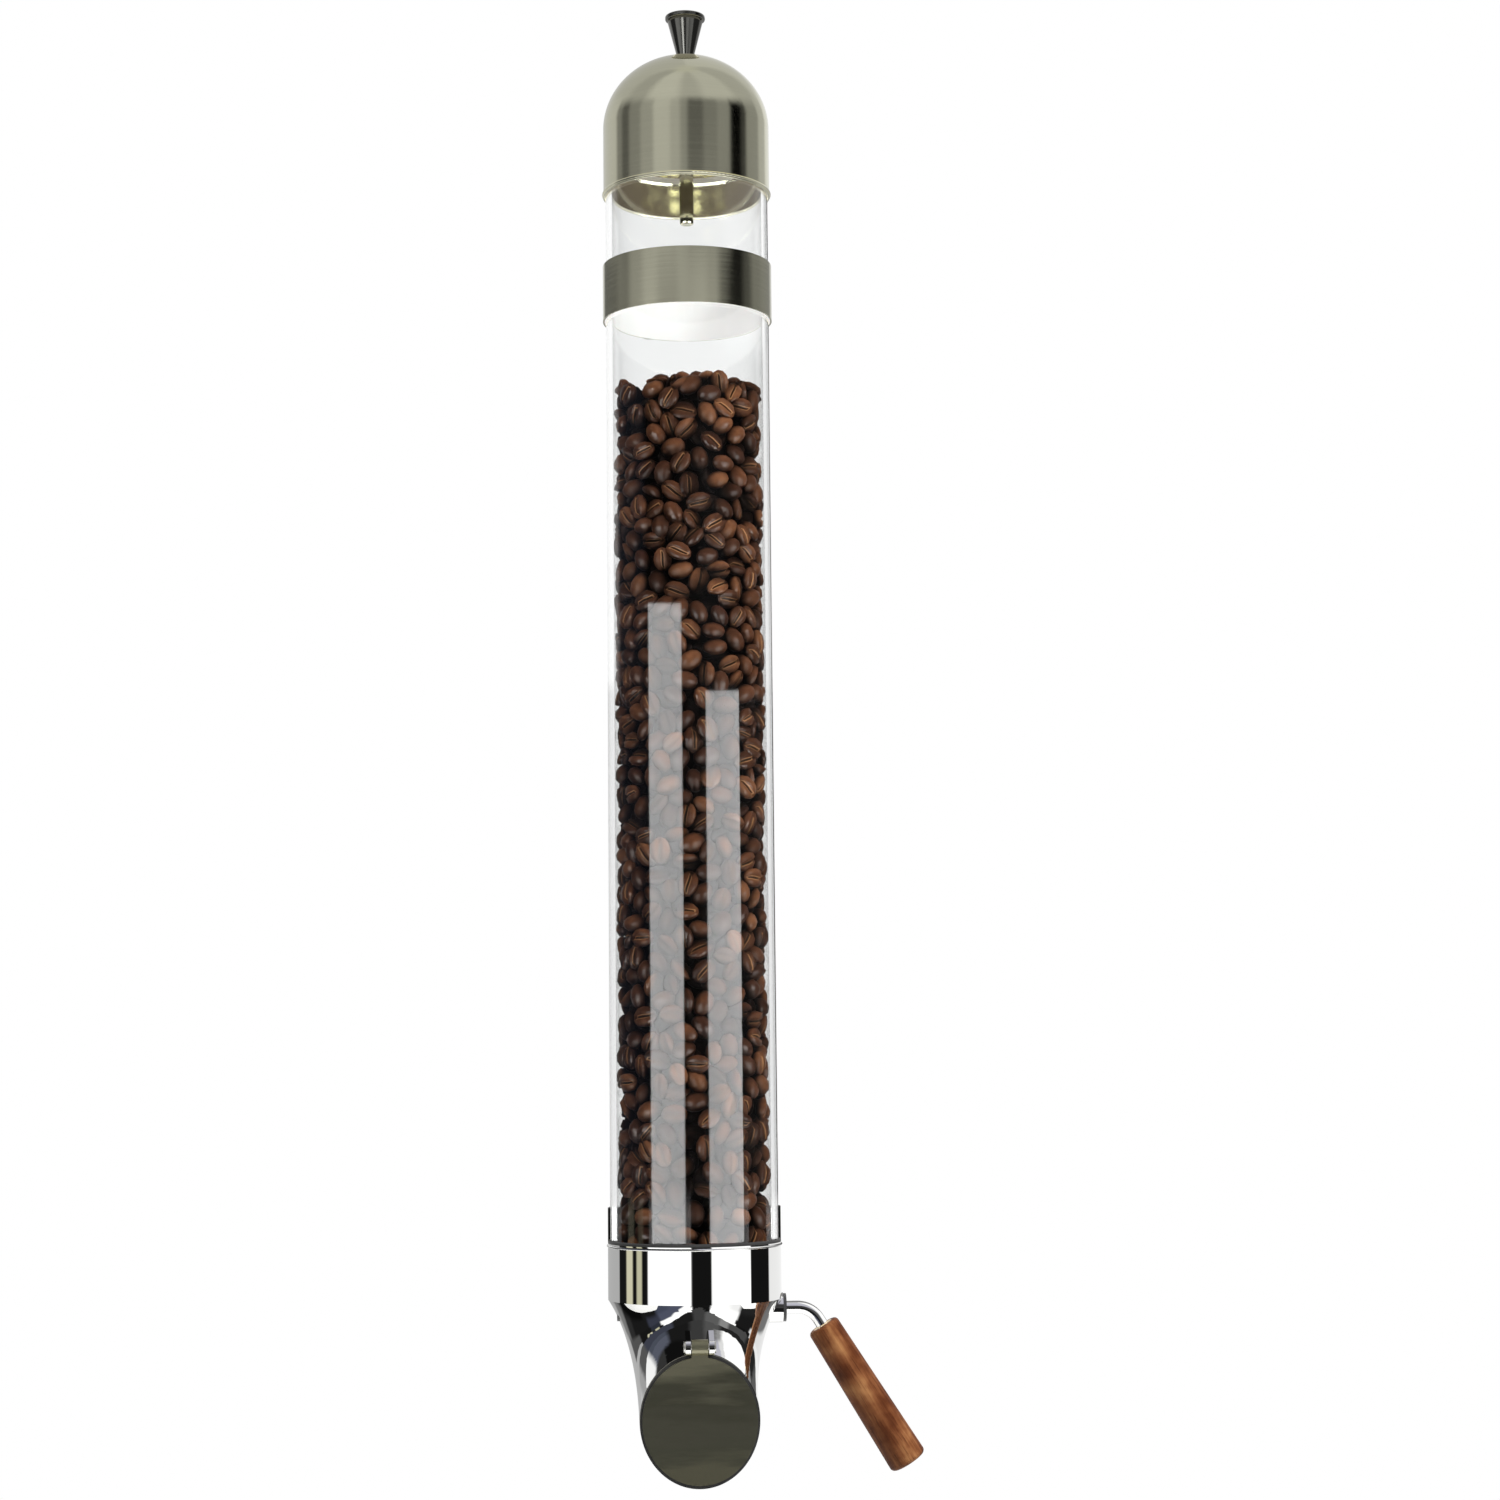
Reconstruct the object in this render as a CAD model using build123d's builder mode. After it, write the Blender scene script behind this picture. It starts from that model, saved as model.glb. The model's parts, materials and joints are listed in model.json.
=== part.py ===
import math
import os

from build123d import *

# Wall-mounted coffee bean dispenser, in millimetres.
# The wall is the plane Y = 0 and the front faces -Y. The origin is the centre of the
# lower wall plate, on the wall. The lever stands out to +X.

# Glass tube, which everything else is sized from
tube_outer_radius = 34.0
tube_wall = 2.5
tube_length = 461.2
tube_bottom_z = -4.0
wall_clearance = 22.0

# Small gaps between parts
glass_gap = 0.15
lid_gap = 0.25
running_gap = 0.05
side_gap = 0.4
rest_gap = 0.3

# Outlet body with its collar and spout
collar_wall = 0.8
collar_front_height = 13.0
collar_rear_height = 27.0
collar_bead = 0.5
seat_gasket_thickness = 2.0
body_straight_below_seat = 7.4
body_wall = 2.0
mouth_reach = 38.0
mouth_half_width = 23.5
mouth_half_height = 26.0
mouth_drop = 43.7
spout_swell = 14.0
spout_narrowing = 3.2
spout_sections = 6
pad_width = 26.0
pad_height = 24.0
pad_stand = 5.0

# Lower bracket
plate_width = 44.0
plate_corner = 5.0
plate_thickness = 4.0
lower_plate_height = 60.0
lower_screw_spacing = 44.0
lower_standoff_radius = 10.0
wall_screw_hole_radius = 2.4
wall_screw_head_radius = 4.6

# Upper clamp and bracket
clamp_below_top = 57.0
clamp_height = 23.4
clamp_wall = 0.7
liner_wall = 0.6
clamp_split = 3.0
ear_wall = 2.0
ear_length = 8.4
ear_height = 14.0
tongue_gap = 1.0
upper_plate_height = 24.0
upper_plate_lift = 6.0
upper_screw_spacing = 32.0
upper_standoff_radius = 6.0
upper_standoff_length = 8.0

# Screws
bracket_screw_radius = 2.5
bracket_screw_head_radius = 4.7
bracket_screw_head_height = 2.2
bracket_screw_grip = 4.6
bracket_screw_gap = 0.1
clamp_screw_radius = 2.0
clamp_screw_head_radius = 3.5
clamp_screw_head_height = 2.4
clamp_nut_radius = 4.0
clamp_nut_height = 3.2
set_screw_radius = 2.0
set_screw_length = 4.2
set_screw_angle = 42.0
set_screw_height = 21.0
set_screw_boss_radius = 4.2
set_screw_boss_stand = 3.4
hex_key_depth = 1.4
hex_key_radius = 1.2

# Lid
lid_skirt = 28.9
lid_overlap = 14.9
dome_height = 31.3
lid_wall = 0.6
lid_bead = 0.6
lid_gasket_thickness = 2.0
seat_ring_thickness = 1.0
seat_ring_width = 3.6
knob_foot_radius = 3.4
knob_top_radius = 7.35
knob_cone_height = 15.5
knob_cap_radius = 8.45
knob_cap_neck = 0.9
knob_neck_radius = 6.4
knob_cap_thickness = 2.0
stem_radius = 2.9
stem_hang = 12.3
lid_nut_radius = 5.6
lid_nut_height = 4.0
lid_washer_radius = 6.5
lid_washer_height = 1.2
lid_washer_drop = 0.7
stem_thread_radius = 2.0
stem_in_knob = 8.5

# Beans
bean_fill_gap = 0.2
beans_below_top = 95.2
bean_crown = 5.0
bean_clear_of_shaft = 7.5
bean_lump_pitch = 16.0
bean_core_depth = 12.2
bean_row_gap = 1.2
bean_lump_outline = ((-0.22, 1.0), (0.22, 1.0), (0.5, 0.8))  # share of the pitch, share of the radius
bean_lump_profile = ((-0.5, 0.78), (0.0, 1.0), (0.5, 0.78))  # share of the row's height, share of the radius
bean_crown_share = 0.62

# Lever
lever_shaft_z = -17.5
lever_rod_radius = 2.5
lever_straight = 41.3
lever_bend_radius = 10.0
lever_hang_angle = 32.1
lever_lead = 3.0
grip_length = 64.4
grip_top_radius = 6.6
grip_bottom_radius = 7.9
grip_round = 1.7
insert_radius = 4.2
insert_length = 22.0
rod_in_grip = 26.0

# Shaft bushes
bush_radius = 4.5
bush_boss_radius = 7.0
bush_inner_face = 24.5
bush_flange_radius = 5.6
bush_flange_thickness = 1.3
bush_face_stand = 0.4
bush_face_radius = 5.9
blind_end_x = -31.4

# Crank, link and flap, a parallelogram that turns the flap as far as the lever
crank_length = 14.0
crank_lean = 30.0
crank_hub_radius = 5.5
crank_hub_length = 10.0
crank_thickness = 3.0
crank_eye_radius = 3.6
crank_screw_x = 3.4
crank_screw_radius = 1.5
crank_screw_sink = 0.2
crank_pin_tail = 8.2
flap_pin_tail = 5.8
link_thickness = 2.5
link_eye_radius = 3.0
link_pin_radius = 1.5
link_pin_head_radius = 2.6
link_pin_head_height = 0.8
hinge_forward = 3.2
hinge_above_mouth = 2.4
hinge_pin_radius = 1.25
knuckle_radius = 3.0
knuckle_width = 6.4
hinge_pin_head_radius = 2.2
hinge_lug_thickness = 2.0
hinge_pin_head_height = 0.7
flap_thickness = 1.5
flap_half_width = 22.5
flap_half_height = 24.4
mouth_seal_thickness = 1.0
mouth_seal_width = 1.6
seal_set_in = 0.3
flap_tab_width = 6.4
flap_tab_root = 2.0
lug_foot_height = 12.0
lug_foot_width = 12.0
lug_foot_thickness = 1.0
rivet_radius = 1.25
rivet_head_radius = 2.2
rivet_head_height = 0.5
rivet_spacing = 8.4
rivet_depth = 1.1
rivet_below_hinge = 13.8

# Return spring
spring_wire_radius = 0.6
spring_mean_radius = 5.2
spring_pitch = 2.0
spring_turns = 4.5
spring_start_x = 7.4
spring_push_leg = 15.5
spring_rest_leg = 12.0
spring_touch_gap = 0.2
anchor_radius = 1.5
anchor_at_leg = 10.5
anchor_end_x = 14.0

# Worked out from the sizes above
wall_distance = tube_outer_radius + wall_clearance
axis_y = -wall_distance
tube_inner_radius = tube_outer_radius - tube_wall
tube_top_z = tube_bottom_z + tube_length
clamp_z = tube_top_z - clamp_below_top
bean_top_z = tube_top_z - beans_below_top
socket_radius = tube_outer_radius + glass_gap
collar_radius = socket_radius + collar_wall
seat_z = tube_bottom_z - seat_gasket_thickness
body_end_z = seat_z - body_straight_below_seat
collar_front_z = tube_bottom_z + collar_front_height
collar_rear_z = tube_bottom_z + collar_rear_height
mouth_z = body_end_z - mouth_drop
mouth_top_z = mouth_z + mouth_half_height
mouth_bottom_z = mouth_z - mouth_half_height
pad_face_y = axis_y + collar_radius + pad_stand
plate_face_y = -plate_thickness
liner_radius = tube_outer_radius + liner_wall
clamp_radius = liner_radius + clamp_wall
lid_rim_z = tube_top_z - lid_overlap
dome_base_z = lid_rim_z + lid_skirt
dome_top_z = dome_base_z + dome_height
lid_inner_radius = tube_outer_radius + lid_gap
lid_radius = lid_inner_radius + lid_wall
hinge_y = -mouth_reach - hinge_forward
hinge_z = mouth_top_z + hinge_above_mouth
crank_dy = crank_length * math.sin(math.radians(crank_lean))
crank_dz = -crank_length * math.cos(math.radians(crank_lean))
crank_pin = (crank_dy, lever_shaft_z + crank_dz)
flap_pin = (hinge_y + crank_dy, hinge_z + crank_dz)
link_x = crank_thickness / 2 + side_gap
flap_back_y = -mouth_reach - mouth_seal_thickness - rest_gap
lug_inner_x = knuckle_width / 2 + side_gap
lug_outer_x = lug_inner_x + hinge_lug_thickness
bush_face_x = collar_radius + bush_face_stand
set_screw_z = tube_bottom_z + set_screw_height
rivet_z = hinge_z - rivet_below_hinge
clip_x = link_x + link_thickness + side_gap / 2
ear_outer_x = clamp_split / 2 + ear_wall
clamp_screw_y = clamp_radius + ear_length / 2
stem_top_z = dome_top_z - lid_wall - lid_washer_drop - lid_washer_height - lid_nut_height
grip_lean = math.radians(lever_hang_angle)
bend_end_x = lever_straight + lever_bend_radius * math.cos(grip_lean)
bend_end_z = lever_shaft_z - lever_bend_radius * (1 - math.sin(grip_lean))
grip_top = (
    bend_end_x + lever_lead * math.sin(grip_lean),
    axis_y,
    bend_end_z - lever_lead * math.cos(grip_lean),
)

# Return spring: its far leg pushes on the crank pin, its near leg rests on the peg
push_leg_reach = spring_mean_radius - link_pin_radius - spring_wire_radius - spring_touch_gap
push_leg_turn = math.degrees(math.acos(push_leg_reach / crank_length))
spring_start_angle = -90 + crank_lean - push_leg_turn
spring_out = (math.cos(math.radians(spring_start_angle)), math.sin(math.radians(spring_start_angle)))
spring_along = (-spring_out[1], spring_out[0])
anchor_inset = spring_mean_radius - anchor_radius - spring_wire_radius - spring_touch_gap
anchor_spot = (
    anchor_at_leg * spring_along[0] - anchor_inset * spring_out[0],
    lever_shaft_z + anchor_at_leg * spring_along[1] - anchor_inset * spring_out[1],
)

# Planes and axes that the parts share
tube_plane = Plane((0, axis_y, 0))
tube_section = Plane((0, axis_y, 0), x_dir=(1, 0, 0), z_dir=(0, -1, 0))
tube_axis = Axis((0, axis_y, 0), (0, 0, 1))
grip_plane = Plane(
    grip_top,
    x_dir=(0, 1, 0),
    z_dir=(math.sin(grip_lean), 0, -math.cos(grip_lean)),
)


def tube_level(z):
    """A horizontal plane centred on the tube."""
    return tube_plane.offset(z)


def side_plane(x):
    """An upright plane across X, whose local axes are Y from the tube's axis and Z."""
    return Plane((x, axis_y, 0), x_dir=(0, 1, 0), z_dir=(1, 0, 0))


def front_plane(y):
    """An upright plane facing the front, y from the tube's axis, local axes X and Z."""
    return Plane((0, axis_y + y, 0), x_dir=(1, 0, 0), z_dir=(0, -1, 0))


def wall_plane(y, z=0.0):
    """An upright plane at y from the wall, facing the front."""
    return Plane((0, y, z), x_dir=(1, 0, 0), z_dir=(0, -1, 0))


def radial_plane(angle, radius, z):
    """A plane that faces away from the tube's axis, at an angle from the back."""
    out = (math.sin(math.radians(angle)), math.cos(math.radians(angle)), 0)
    return Plane((radius * out[0], axis_y + radius * out[1], z), x_dir=(0, 0, 1), z_dir=out)


def duct_section(share, inset):
    """One cross-section of the spout: its plane and its two half sizes."""
    swing = collar_radius + mouth_reach + spout_swell
    last_turn = math.acos(spout_swell / swing)
    turn = last_turn * share
    back_y = swing * math.cos(turn) - mouth_reach - spout_swell
    back_drop = (body_end_z - mouth_bottom_z) * math.sin(turn) / math.sin(last_turn)
    front_y = -collar_radius - (mouth_reach - collar_radius) * share**2
    front_z = body_end_z + (mouth_top_z - body_end_z) * share
    run_y = back_y - front_y
    run_z = body_end_z - back_drop - front_z
    run = math.hypot(run_y, run_z)
    middle = (0, axis_y + front_y + run_y / 2, front_z + run_z / 2)
    plane = Plane(middle, x_dir=(1, 0, 0), z_dir=(0, -run_z / run, run_y / run))
    half_width = mouth_half_width
    half_width += (collar_radius - mouth_half_width) * (1 - share) ** spout_narrowing
    return plane, half_width - inset, run / 2 - inset


def duct_shares():
    """The places of the spout's sections, from 0 at the body to 1 at the mouth."""
    return [n / (spout_sections - 1) for n in range(spout_sections)]


def bracket_screw_outline(tip, gap):
    """Half the outline of a countersunk screw that goes in from the wall side.

    Its local X is the radius and its local Y points away from the wall.
    """
    with BuildSketch() as outline:
        with BuildLine():
            Polyline(
                (0, 0),
                (bracket_screw_head_radius + gap, 0),
                (bracket_screw_radius + gap, bracket_screw_head_height + gap),
                (bracket_screw_radius + gap, tip),
                (0, tip),
                close=True,
            )
        make_face()
    return outline.sketch


# Outlines of the hole and of the two bracket screws
bracket_hole = bracket_screw_outline(2 * plate_thickness, bracket_screw_gap)
lower_screw = bracket_screw_outline(bracket_screw_grip - pad_face_y, 0)
upper_screw = bracket_screw_outline(plate_thickness + bracket_screw_grip, 0)


def bracket_screw_plane(z):
    """The section plane of a bracket screw at height z, Y away from the wall."""
    return Plane((0, 0, z), x_dir=(1, 0, 0), z_dir=(0, 0, -1))


def bracket_screw_axis(z):
    """The axis of a bracket screw at height z."""
    return Axis((0, 0, z), (0, 1, 0))


def finish(part, name):
    """Label a part and write it."""
    part.label = name
    export_step(part, f"parts/{name}.step")


# Glass tube
with BuildPart() as glass_tube:
    with BuildSketch(tube_level(tube_bottom_z)):
        Circle(tube_outer_radius)
        Circle(tube_inner_radius, mode=Mode.SUBTRACT)
    extrude(amount=tube_length)
    fillet(glass_tube.edges().filter_by(GeomType.CIRCLE), 0.6)

# Gasket under the glass, in the collar's socket
with BuildPart() as tube_seat_gasket:
    with BuildSketch(tube_level(seat_z)):
        Circle(tube_outer_radius)
        Circle(tube_inner_radius, mode=Mode.SUBTRACT)
    extrude(amount=seat_gasket_thickness)

# Outlet body: its outside as a solid, which the hollow is then cut from
with BuildPart() as body_outside:
    with BuildSketch(tube_level(body_end_z)):
        Circle(collar_radius)
    extrude(amount=collar_rear_z - body_end_z)
    with BuildSketch(tube_level(collar_front_z)):
        with Locations((0, -collar_radius)):
            Rectangle(3 * collar_radius, 2 * collar_radius)
    extrude(amount=collar_rear_z, mode=Mode.SUBTRACT)
    with BuildSketch(tube_section):
        with Locations((collar_radius, collar_front_z - 2 * collar_bead)):
            Circle(collar_bead)
    revolve(axis=tube_axis)
    for share in duct_shares():
        plane, half_width, half_run = duct_section(share, 0)
        with BuildSketch(plane):
            Ellipse(half_width, half_run)
    loft()

# The spout's hollow, from the straight bore to the mouth
with BuildPart() as spout_hollow:
    for share in duct_shares():
        plane, half_width, half_run = duct_section(share, body_wall)
        with BuildSketch(plane):
            Ellipse(half_width, half_run)
    loft()

# What stands inside the body: two bosses for the bushes and a peg for the spring
with BuildPart() as inner_bosses:
    for side in (-1, 1):
        with BuildSketch(side_plane(side * bush_inner_face)):
            with Locations((0, lever_shaft_z)):
                Circle(bush_boss_radius)
        extrude(amount=side * collar_radius)
    with BuildSketch(side_plane(anchor_end_x)):
        with Locations(anchor_spot):
            Circle(anchor_radius)
    extrude(amount=collar_radius)
    add(body_outside.part, mode=Mode.INTERSECT)

with BuildPart() as outlet_body:
    add(body_outside.part)
    # Pad for the lower bracket
    with BuildSketch(front_plane(collar_radius + pad_stand)):
        RectangleRounded(pad_width, pad_height, 2 * pad_stand / 3)
    extrude(amount=2 * pad_stand)
    # Bosses for the screws that hold the glass
    for angle in (-set_screw_angle, set_screw_angle):
        with BuildSketch(radial_plane(angle, tube_outer_radius, set_screw_z)):
            Circle(set_screw_boss_radius)
        extrude(amount=collar_radius + set_screw_boss_stand - tube_outer_radius)
    # Face for the flange of the lever's bush
    with BuildSketch(side_plane(bush_inner_face)):
        with Locations((0, lever_shaft_z)):
            Circle(bush_face_radius)
    extrude(amount=bush_face_x - bush_inner_face)
    # Lugs for the flap's hinge pin
    for x in (-lug_outer_x, lug_inner_x):
        with BuildSketch(side_plane(x)):
            with Locations((hinge_y, hinge_z)):
                Circle(knuckle_radius)
            with Locations((-collar_radius, hinge_z + knuckle_radius)):
                Rectangle(2 * body_wall, 2 * knuckle_radius)
            make_hull()
        extrude(amount=hinge_lug_thickness)
    add(spout_hollow.part, mode=Mode.SUBTRACT)
    with BuildSketch(tube_level(body_end_z)):
        Circle(collar_radius - body_wall)
    extrude(amount=seat_z - body_end_z, mode=Mode.SUBTRACT)
    with BuildSketch(tube_level(seat_z)):
        Circle(socket_radius)
    extrude(amount=collar_rear_z - seat_z, mode=Mode.SUBTRACT)
    add(inner_bosses.part)
    # Bores for the bushes, the hinge pin and the screws
    with BuildSketch(side_plane(blind_end_x)):
        with Locations((0, lever_shaft_z)):
            Circle(bush_radius)
    extrude(amount=2 * bush_boss_radius, mode=Mode.SUBTRACT)
    with BuildSketch(side_plane(bush_inner_face - 1)):
        with Locations((0, lever_shaft_z)):
            Circle(bush_radius)
    extrude(amount=collar_radius, mode=Mode.SUBTRACT)
    with BuildSketch(side_plane(-lug_outer_x)):
        with Locations((hinge_y, hinge_z)):
            Circle(hinge_pin_radius)
    extrude(amount=2 * lug_outer_x, mode=Mode.SUBTRACT)
    with BuildSketch(front_plane(collar_radius + pad_stand)):
        Circle(bracket_screw_radius)
    extrude(amount=bracket_screw_grip, mode=Mode.SUBTRACT)
    for angle in (-set_screw_angle, set_screw_angle):
        with BuildSketch(radial_plane(angle, tube_outer_radius, set_screw_z)):
            Circle(set_screw_radius)
        extrude(amount=collar_radius, mode=Mode.SUBTRACT)

# Screws that hold the glass in the collar, with hexagon sockets
with BuildPart() as collar_set_screws:
    for angle in (-set_screw_angle, set_screw_angle):
        start = tube_outer_radius + glass_gap / 2
        with BuildSketch(radial_plane(angle, start, set_screw_z)):
            Circle(set_screw_radius)
        extrude(amount=set_screw_length)
        with BuildSketch(radial_plane(angle, start + set_screw_length - hex_key_depth, set_screw_z)):
            RegularPolygon(hex_key_radius, 6)
        extrude(amount=hex_key_depth, mode=Mode.SUBTRACT)

# Coffee beans: a core under rows of lumps that reach the glass, each row turned by half a lump
fill_radius = tube_inner_radius - bean_fill_gap
bean_floor_z = lever_shaft_z + bean_clear_of_shaft
lumps_round = round(2 * math.pi * fill_radius / bean_lump_pitch)
bean_rows = round((bean_top_z - tube_bottom_z) / bean_lump_pitch)
bean_row_rise = (bean_top_z - tube_bottom_z) / bean_rows
bean_row_height = bean_row_rise - bean_row_gap
half_lump = 180 / lumps_round


def bean_row(share):
    """One ring of lumps about the origin, at this share of its full size, from flat faces."""
    rings = []
    for level, waist in bean_lump_profile:
        ring = []
        for lump in range(lumps_round):
            for place, reach in bean_lump_outline:
                turn = 2 * math.pi * (lump + place) / lumps_round
                radius = share * waist * reach * fill_radius
                height = share * level * bean_row_height
                ring.append(Vector(radius * math.cos(turn), radius * math.sin(turn), height))
        rings.append(ring)
    faces = [Face(Wire.make_polygon(rings[0])), Face(Wire.make_polygon(rings[-1]))]
    for lower, upper in zip(rings, rings[1:]):
        for corner in range(len(lower)):
            following = (corner + 1) % len(lower)
            corners = [lower[corner], lower[following], upper[following], upper[corner]]
            faces.append(Face(Wire.make_polygon(corners)))
    return Solid(Shell(faces))


row_spots = [Location((0, axis_y, tube_bottom_z + (row + 0.5) * bean_row_rise), (0, 0, row % 2 * half_lump))
             for row in range(bean_rows)]
crown_z = bean_top_z + bean_crown - bean_crown_share * bean_row_height / 2
with BuildPart() as bean_fill:
    with BuildSketch(tube_level(bean_floor_z)):
        Circle(fill_radius - bean_core_depth)
    extrude(amount=bean_top_z - bean_floor_z)
    with Locations(*row_spots):
        add(bean_row(1.0))
    with Locations((0, axis_y, crown_z)):
        add(bean_row(bean_crown_share))

# Lower bracket
with BuildPart(wall_plane(plate_face_y)) as lower_wall_plate:
    with BuildSketch(wall_plane(plate_face_y)):
        RectangleRounded(plate_width, lower_plate_height, plate_corner)
    extrude(amount=-plate_thickness)
    with GridLocations(0, lower_screw_spacing, 1, 2):
        CounterSinkHole(wall_screw_hole_radius, wall_screw_head_radius)
    with BuildSketch(bracket_screw_plane(0)):
        add(bracket_hole)
    revolve(axis=bracket_screw_axis(0), mode=Mode.SUBTRACT)

with BuildPart() as lower_standoff:
    with BuildSketch(wall_plane(plate_face_y)):
        Circle(lower_standoff_radius)
        Circle(bracket_screw_radius + bracket_screw_gap, mode=Mode.SUBTRACT)
    extrude(amount=plate_face_y - pad_face_y)
    chamfer(lower_standoff.edges().filter_by(GeomType.CIRCLE).sort_by(SortBy.RADIUS)[-2:], 0.6)

with BuildPart() as lower_bracket_screw:
    with BuildSketch(bracket_screw_plane(0)):
        add(lower_screw)
    revolve(axis=bracket_screw_axis(0))

# Bushes for the lever's shaft: open on the right, in a blind boss on the left
with BuildPart() as shaft_bush_right:
    with BuildSketch(side_plane(bush_inner_face)):
        with Locations((0, lever_shaft_z)):
            Circle(bush_radius)
    extrude(amount=bush_face_x - bush_inner_face)
    with BuildSketch(side_plane(bush_face_x)):
        with Locations((0, lever_shaft_z)):
            Circle(bush_flange_radius)
    extrude(amount=bush_flange_thickness)
    with BuildSketch(side_plane(bush_inner_face)):
        with Locations((0, lever_shaft_z)):
            Circle(lever_rod_radius + running_gap)
    extrude(amount=collar_radius, mode=Mode.SUBTRACT)
    chamfer(shaft_bush_right.edges().filter_by(GeomType.CIRCLE).sort_by(Axis.X)[-1], 0.3)

with BuildPart() as shaft_bush_left:
    with BuildSketch(side_plane(blind_end_x)):
        with Locations((0, lever_shaft_z)):
            Circle(bush_radius)
            Circle(lever_rod_radius + running_gap, mode=Mode.SUBTRACT)
    extrude(amount=-bush_inner_face - blind_end_x)

# Seal round the mouth
with BuildPart() as mouth_seal:
    with BuildSketch(front_plane(-mouth_reach)):
        with Locations((0, mouth_z)):
            seal_half_width = mouth_half_width - seal_set_in
            seal_half_height = mouth_half_height - seal_set_in
            Ellipse(seal_half_width, seal_half_height)
            Ellipse(seal_half_width - mouth_seal_width, seal_half_height - mouth_seal_width,
                    mode=Mode.SUBTRACT)
    extrude(amount=mouth_seal_thickness)

# Hinge pin of the flap, with its two heads
with BuildPart() as flap_hinge_pin:
    with BuildSketch(side_plane(-lug_outer_x)):
        with Locations((hinge_y, hinge_z)):
            Circle(hinge_pin_radius)
    extrude(amount=2 * lug_outer_x)
    for side in (-1, 1):
        with BuildSketch(side_plane(side * lug_outer_x)):
            with Locations((hinge_y, hinge_z)):
                Circle(hinge_pin_head_radius)
        extrude(amount=side * hinge_pin_head_height)

# Flap: an oval plate whose tab is rolled round the hinge pin
with BuildPart() as flap_plate:
    with BuildSketch(front_plane(flap_back_y)):
        with Locations((0, mouth_z)):
            Ellipse(flap_half_width, flap_half_height)
        with Locations((0, hinge_z)):
            Rectangle(flap_tab_width, hinge_z - mouth_z - flap_half_height + flap_tab_root,
                      align=(Align.CENTER, Align.MAX))
    extrude(amount=flap_thickness)
    with BuildSketch(side_plane(-knuckle_width / 2)):
        with Locations((hinge_y, hinge_z)):
            Circle(knuckle_radius)
    extrude(amount=knuckle_width)
    with BuildSketch(side_plane(-knuckle_width / 2)):
        with Locations((hinge_y, hinge_z)):
            Circle(hinge_pin_radius + running_gap)
    extrude(amount=knuckle_width, mode=Mode.SUBTRACT)
    with BuildSketch(front_plane(flap_back_y)):
        with Locations((0, rivet_z)):
            with GridLocations(rivet_spacing, 0, 2, 1):
                Circle(rivet_radius)
    extrude(amount=rivet_depth, mode=Mode.SUBTRACT)

with BuildPart() as flap_lug:
    with BuildSketch(front_plane(flap_back_y)):
        with Locations((0, rivet_z)):
            RectangleRounded(lug_foot_width, lug_foot_height, 1.5)
            with GridLocations(rivet_spacing, 0, 2, 1):
                Circle(rivet_radius, mode=Mode.SUBTRACT)
    extrude(amount=-lug_foot_thickness)
    with BuildSketch(side_plane(-crank_thickness / 2)):
        with Locations(flap_pin):
            Circle(crank_eye_radius)
        with Locations((flap_back_y + lug_foot_thickness / 2, rivet_z)):
            Rectangle(lug_foot_thickness, lug_foot_height - 2)
        make_hull()
    extrude(amount=crank_thickness)
    with BuildSketch(side_plane(-crank_thickness / 2)):
        with Locations(flap_pin):
            Circle(link_pin_radius)
    extrude(amount=crank_thickness, mode=Mode.SUBTRACT)

with BuildPart() as flap_rivets:
    with BuildSketch(front_plane(flap_back_y - rivet_depth)):
        with Locations((0, rivet_z)):
            with GridLocations(rivet_spacing, 0, 2, 1):
                Circle(rivet_radius)
    extrude(amount=-(rivet_depth + lug_foot_thickness))
    with BuildSketch(front_plane(flap_back_y + lug_foot_thickness)):
        with Locations((0, rivet_z)):
            with GridLocations(rivet_spacing, 0, 2, 1):
                Circle(rivet_head_radius)
    extrude(amount=-rivet_head_height)

# Lever: one bent rod, which is also the shaft through the body
with BuildPart() as lever_rod:
    with BuildLine(front_plane(0)) as rod_line:
        run = Line((blind_end_x + side_gap, lever_shaft_z), (lever_straight, lever_shaft_z))
        bend = JernArc(run @ 1, run % 1, lever_bend_radius, lever_hang_angle - 90)
        Line(bend @ 1, (bend @ 1) + (bend % 1) * (lever_lead + rod_in_grip))
    with BuildSketch(side_plane(blind_end_x + side_gap)):
        with Locations((0, lever_shaft_z)):
            Circle(lever_rod_radius)
    sweep(path=rod_line.line)

with BuildPart(grip_plane) as wood_grip:
    Cone(grip_top_radius, grip_bottom_radius, grip_length,
         align=(Align.CENTER, Align.CENTER, Align.MIN))
    fillet(wood_grip.edges().filter_by(GeomType.CIRCLE), grip_round)
    Cylinder(insert_radius, insert_length, align=(Align.CENTER, Align.CENTER, Align.MIN),
             mode=Mode.SUBTRACT)
    Cylinder(lever_rod_radius, rod_in_grip + 1, align=(Align.CENTER, Align.CENTER, Align.MIN),
             mode=Mode.SUBTRACT)

with BuildPart(grip_plane) as grip_insert:
    Cylinder(insert_radius, insert_length, align=(Align.CENTER, Align.CENTER, Align.MIN))
    Cylinder(lever_rod_radius, insert_length, align=(Align.CENTER, Align.CENTER, Align.MIN),
             mode=Mode.SUBTRACT)

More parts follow.
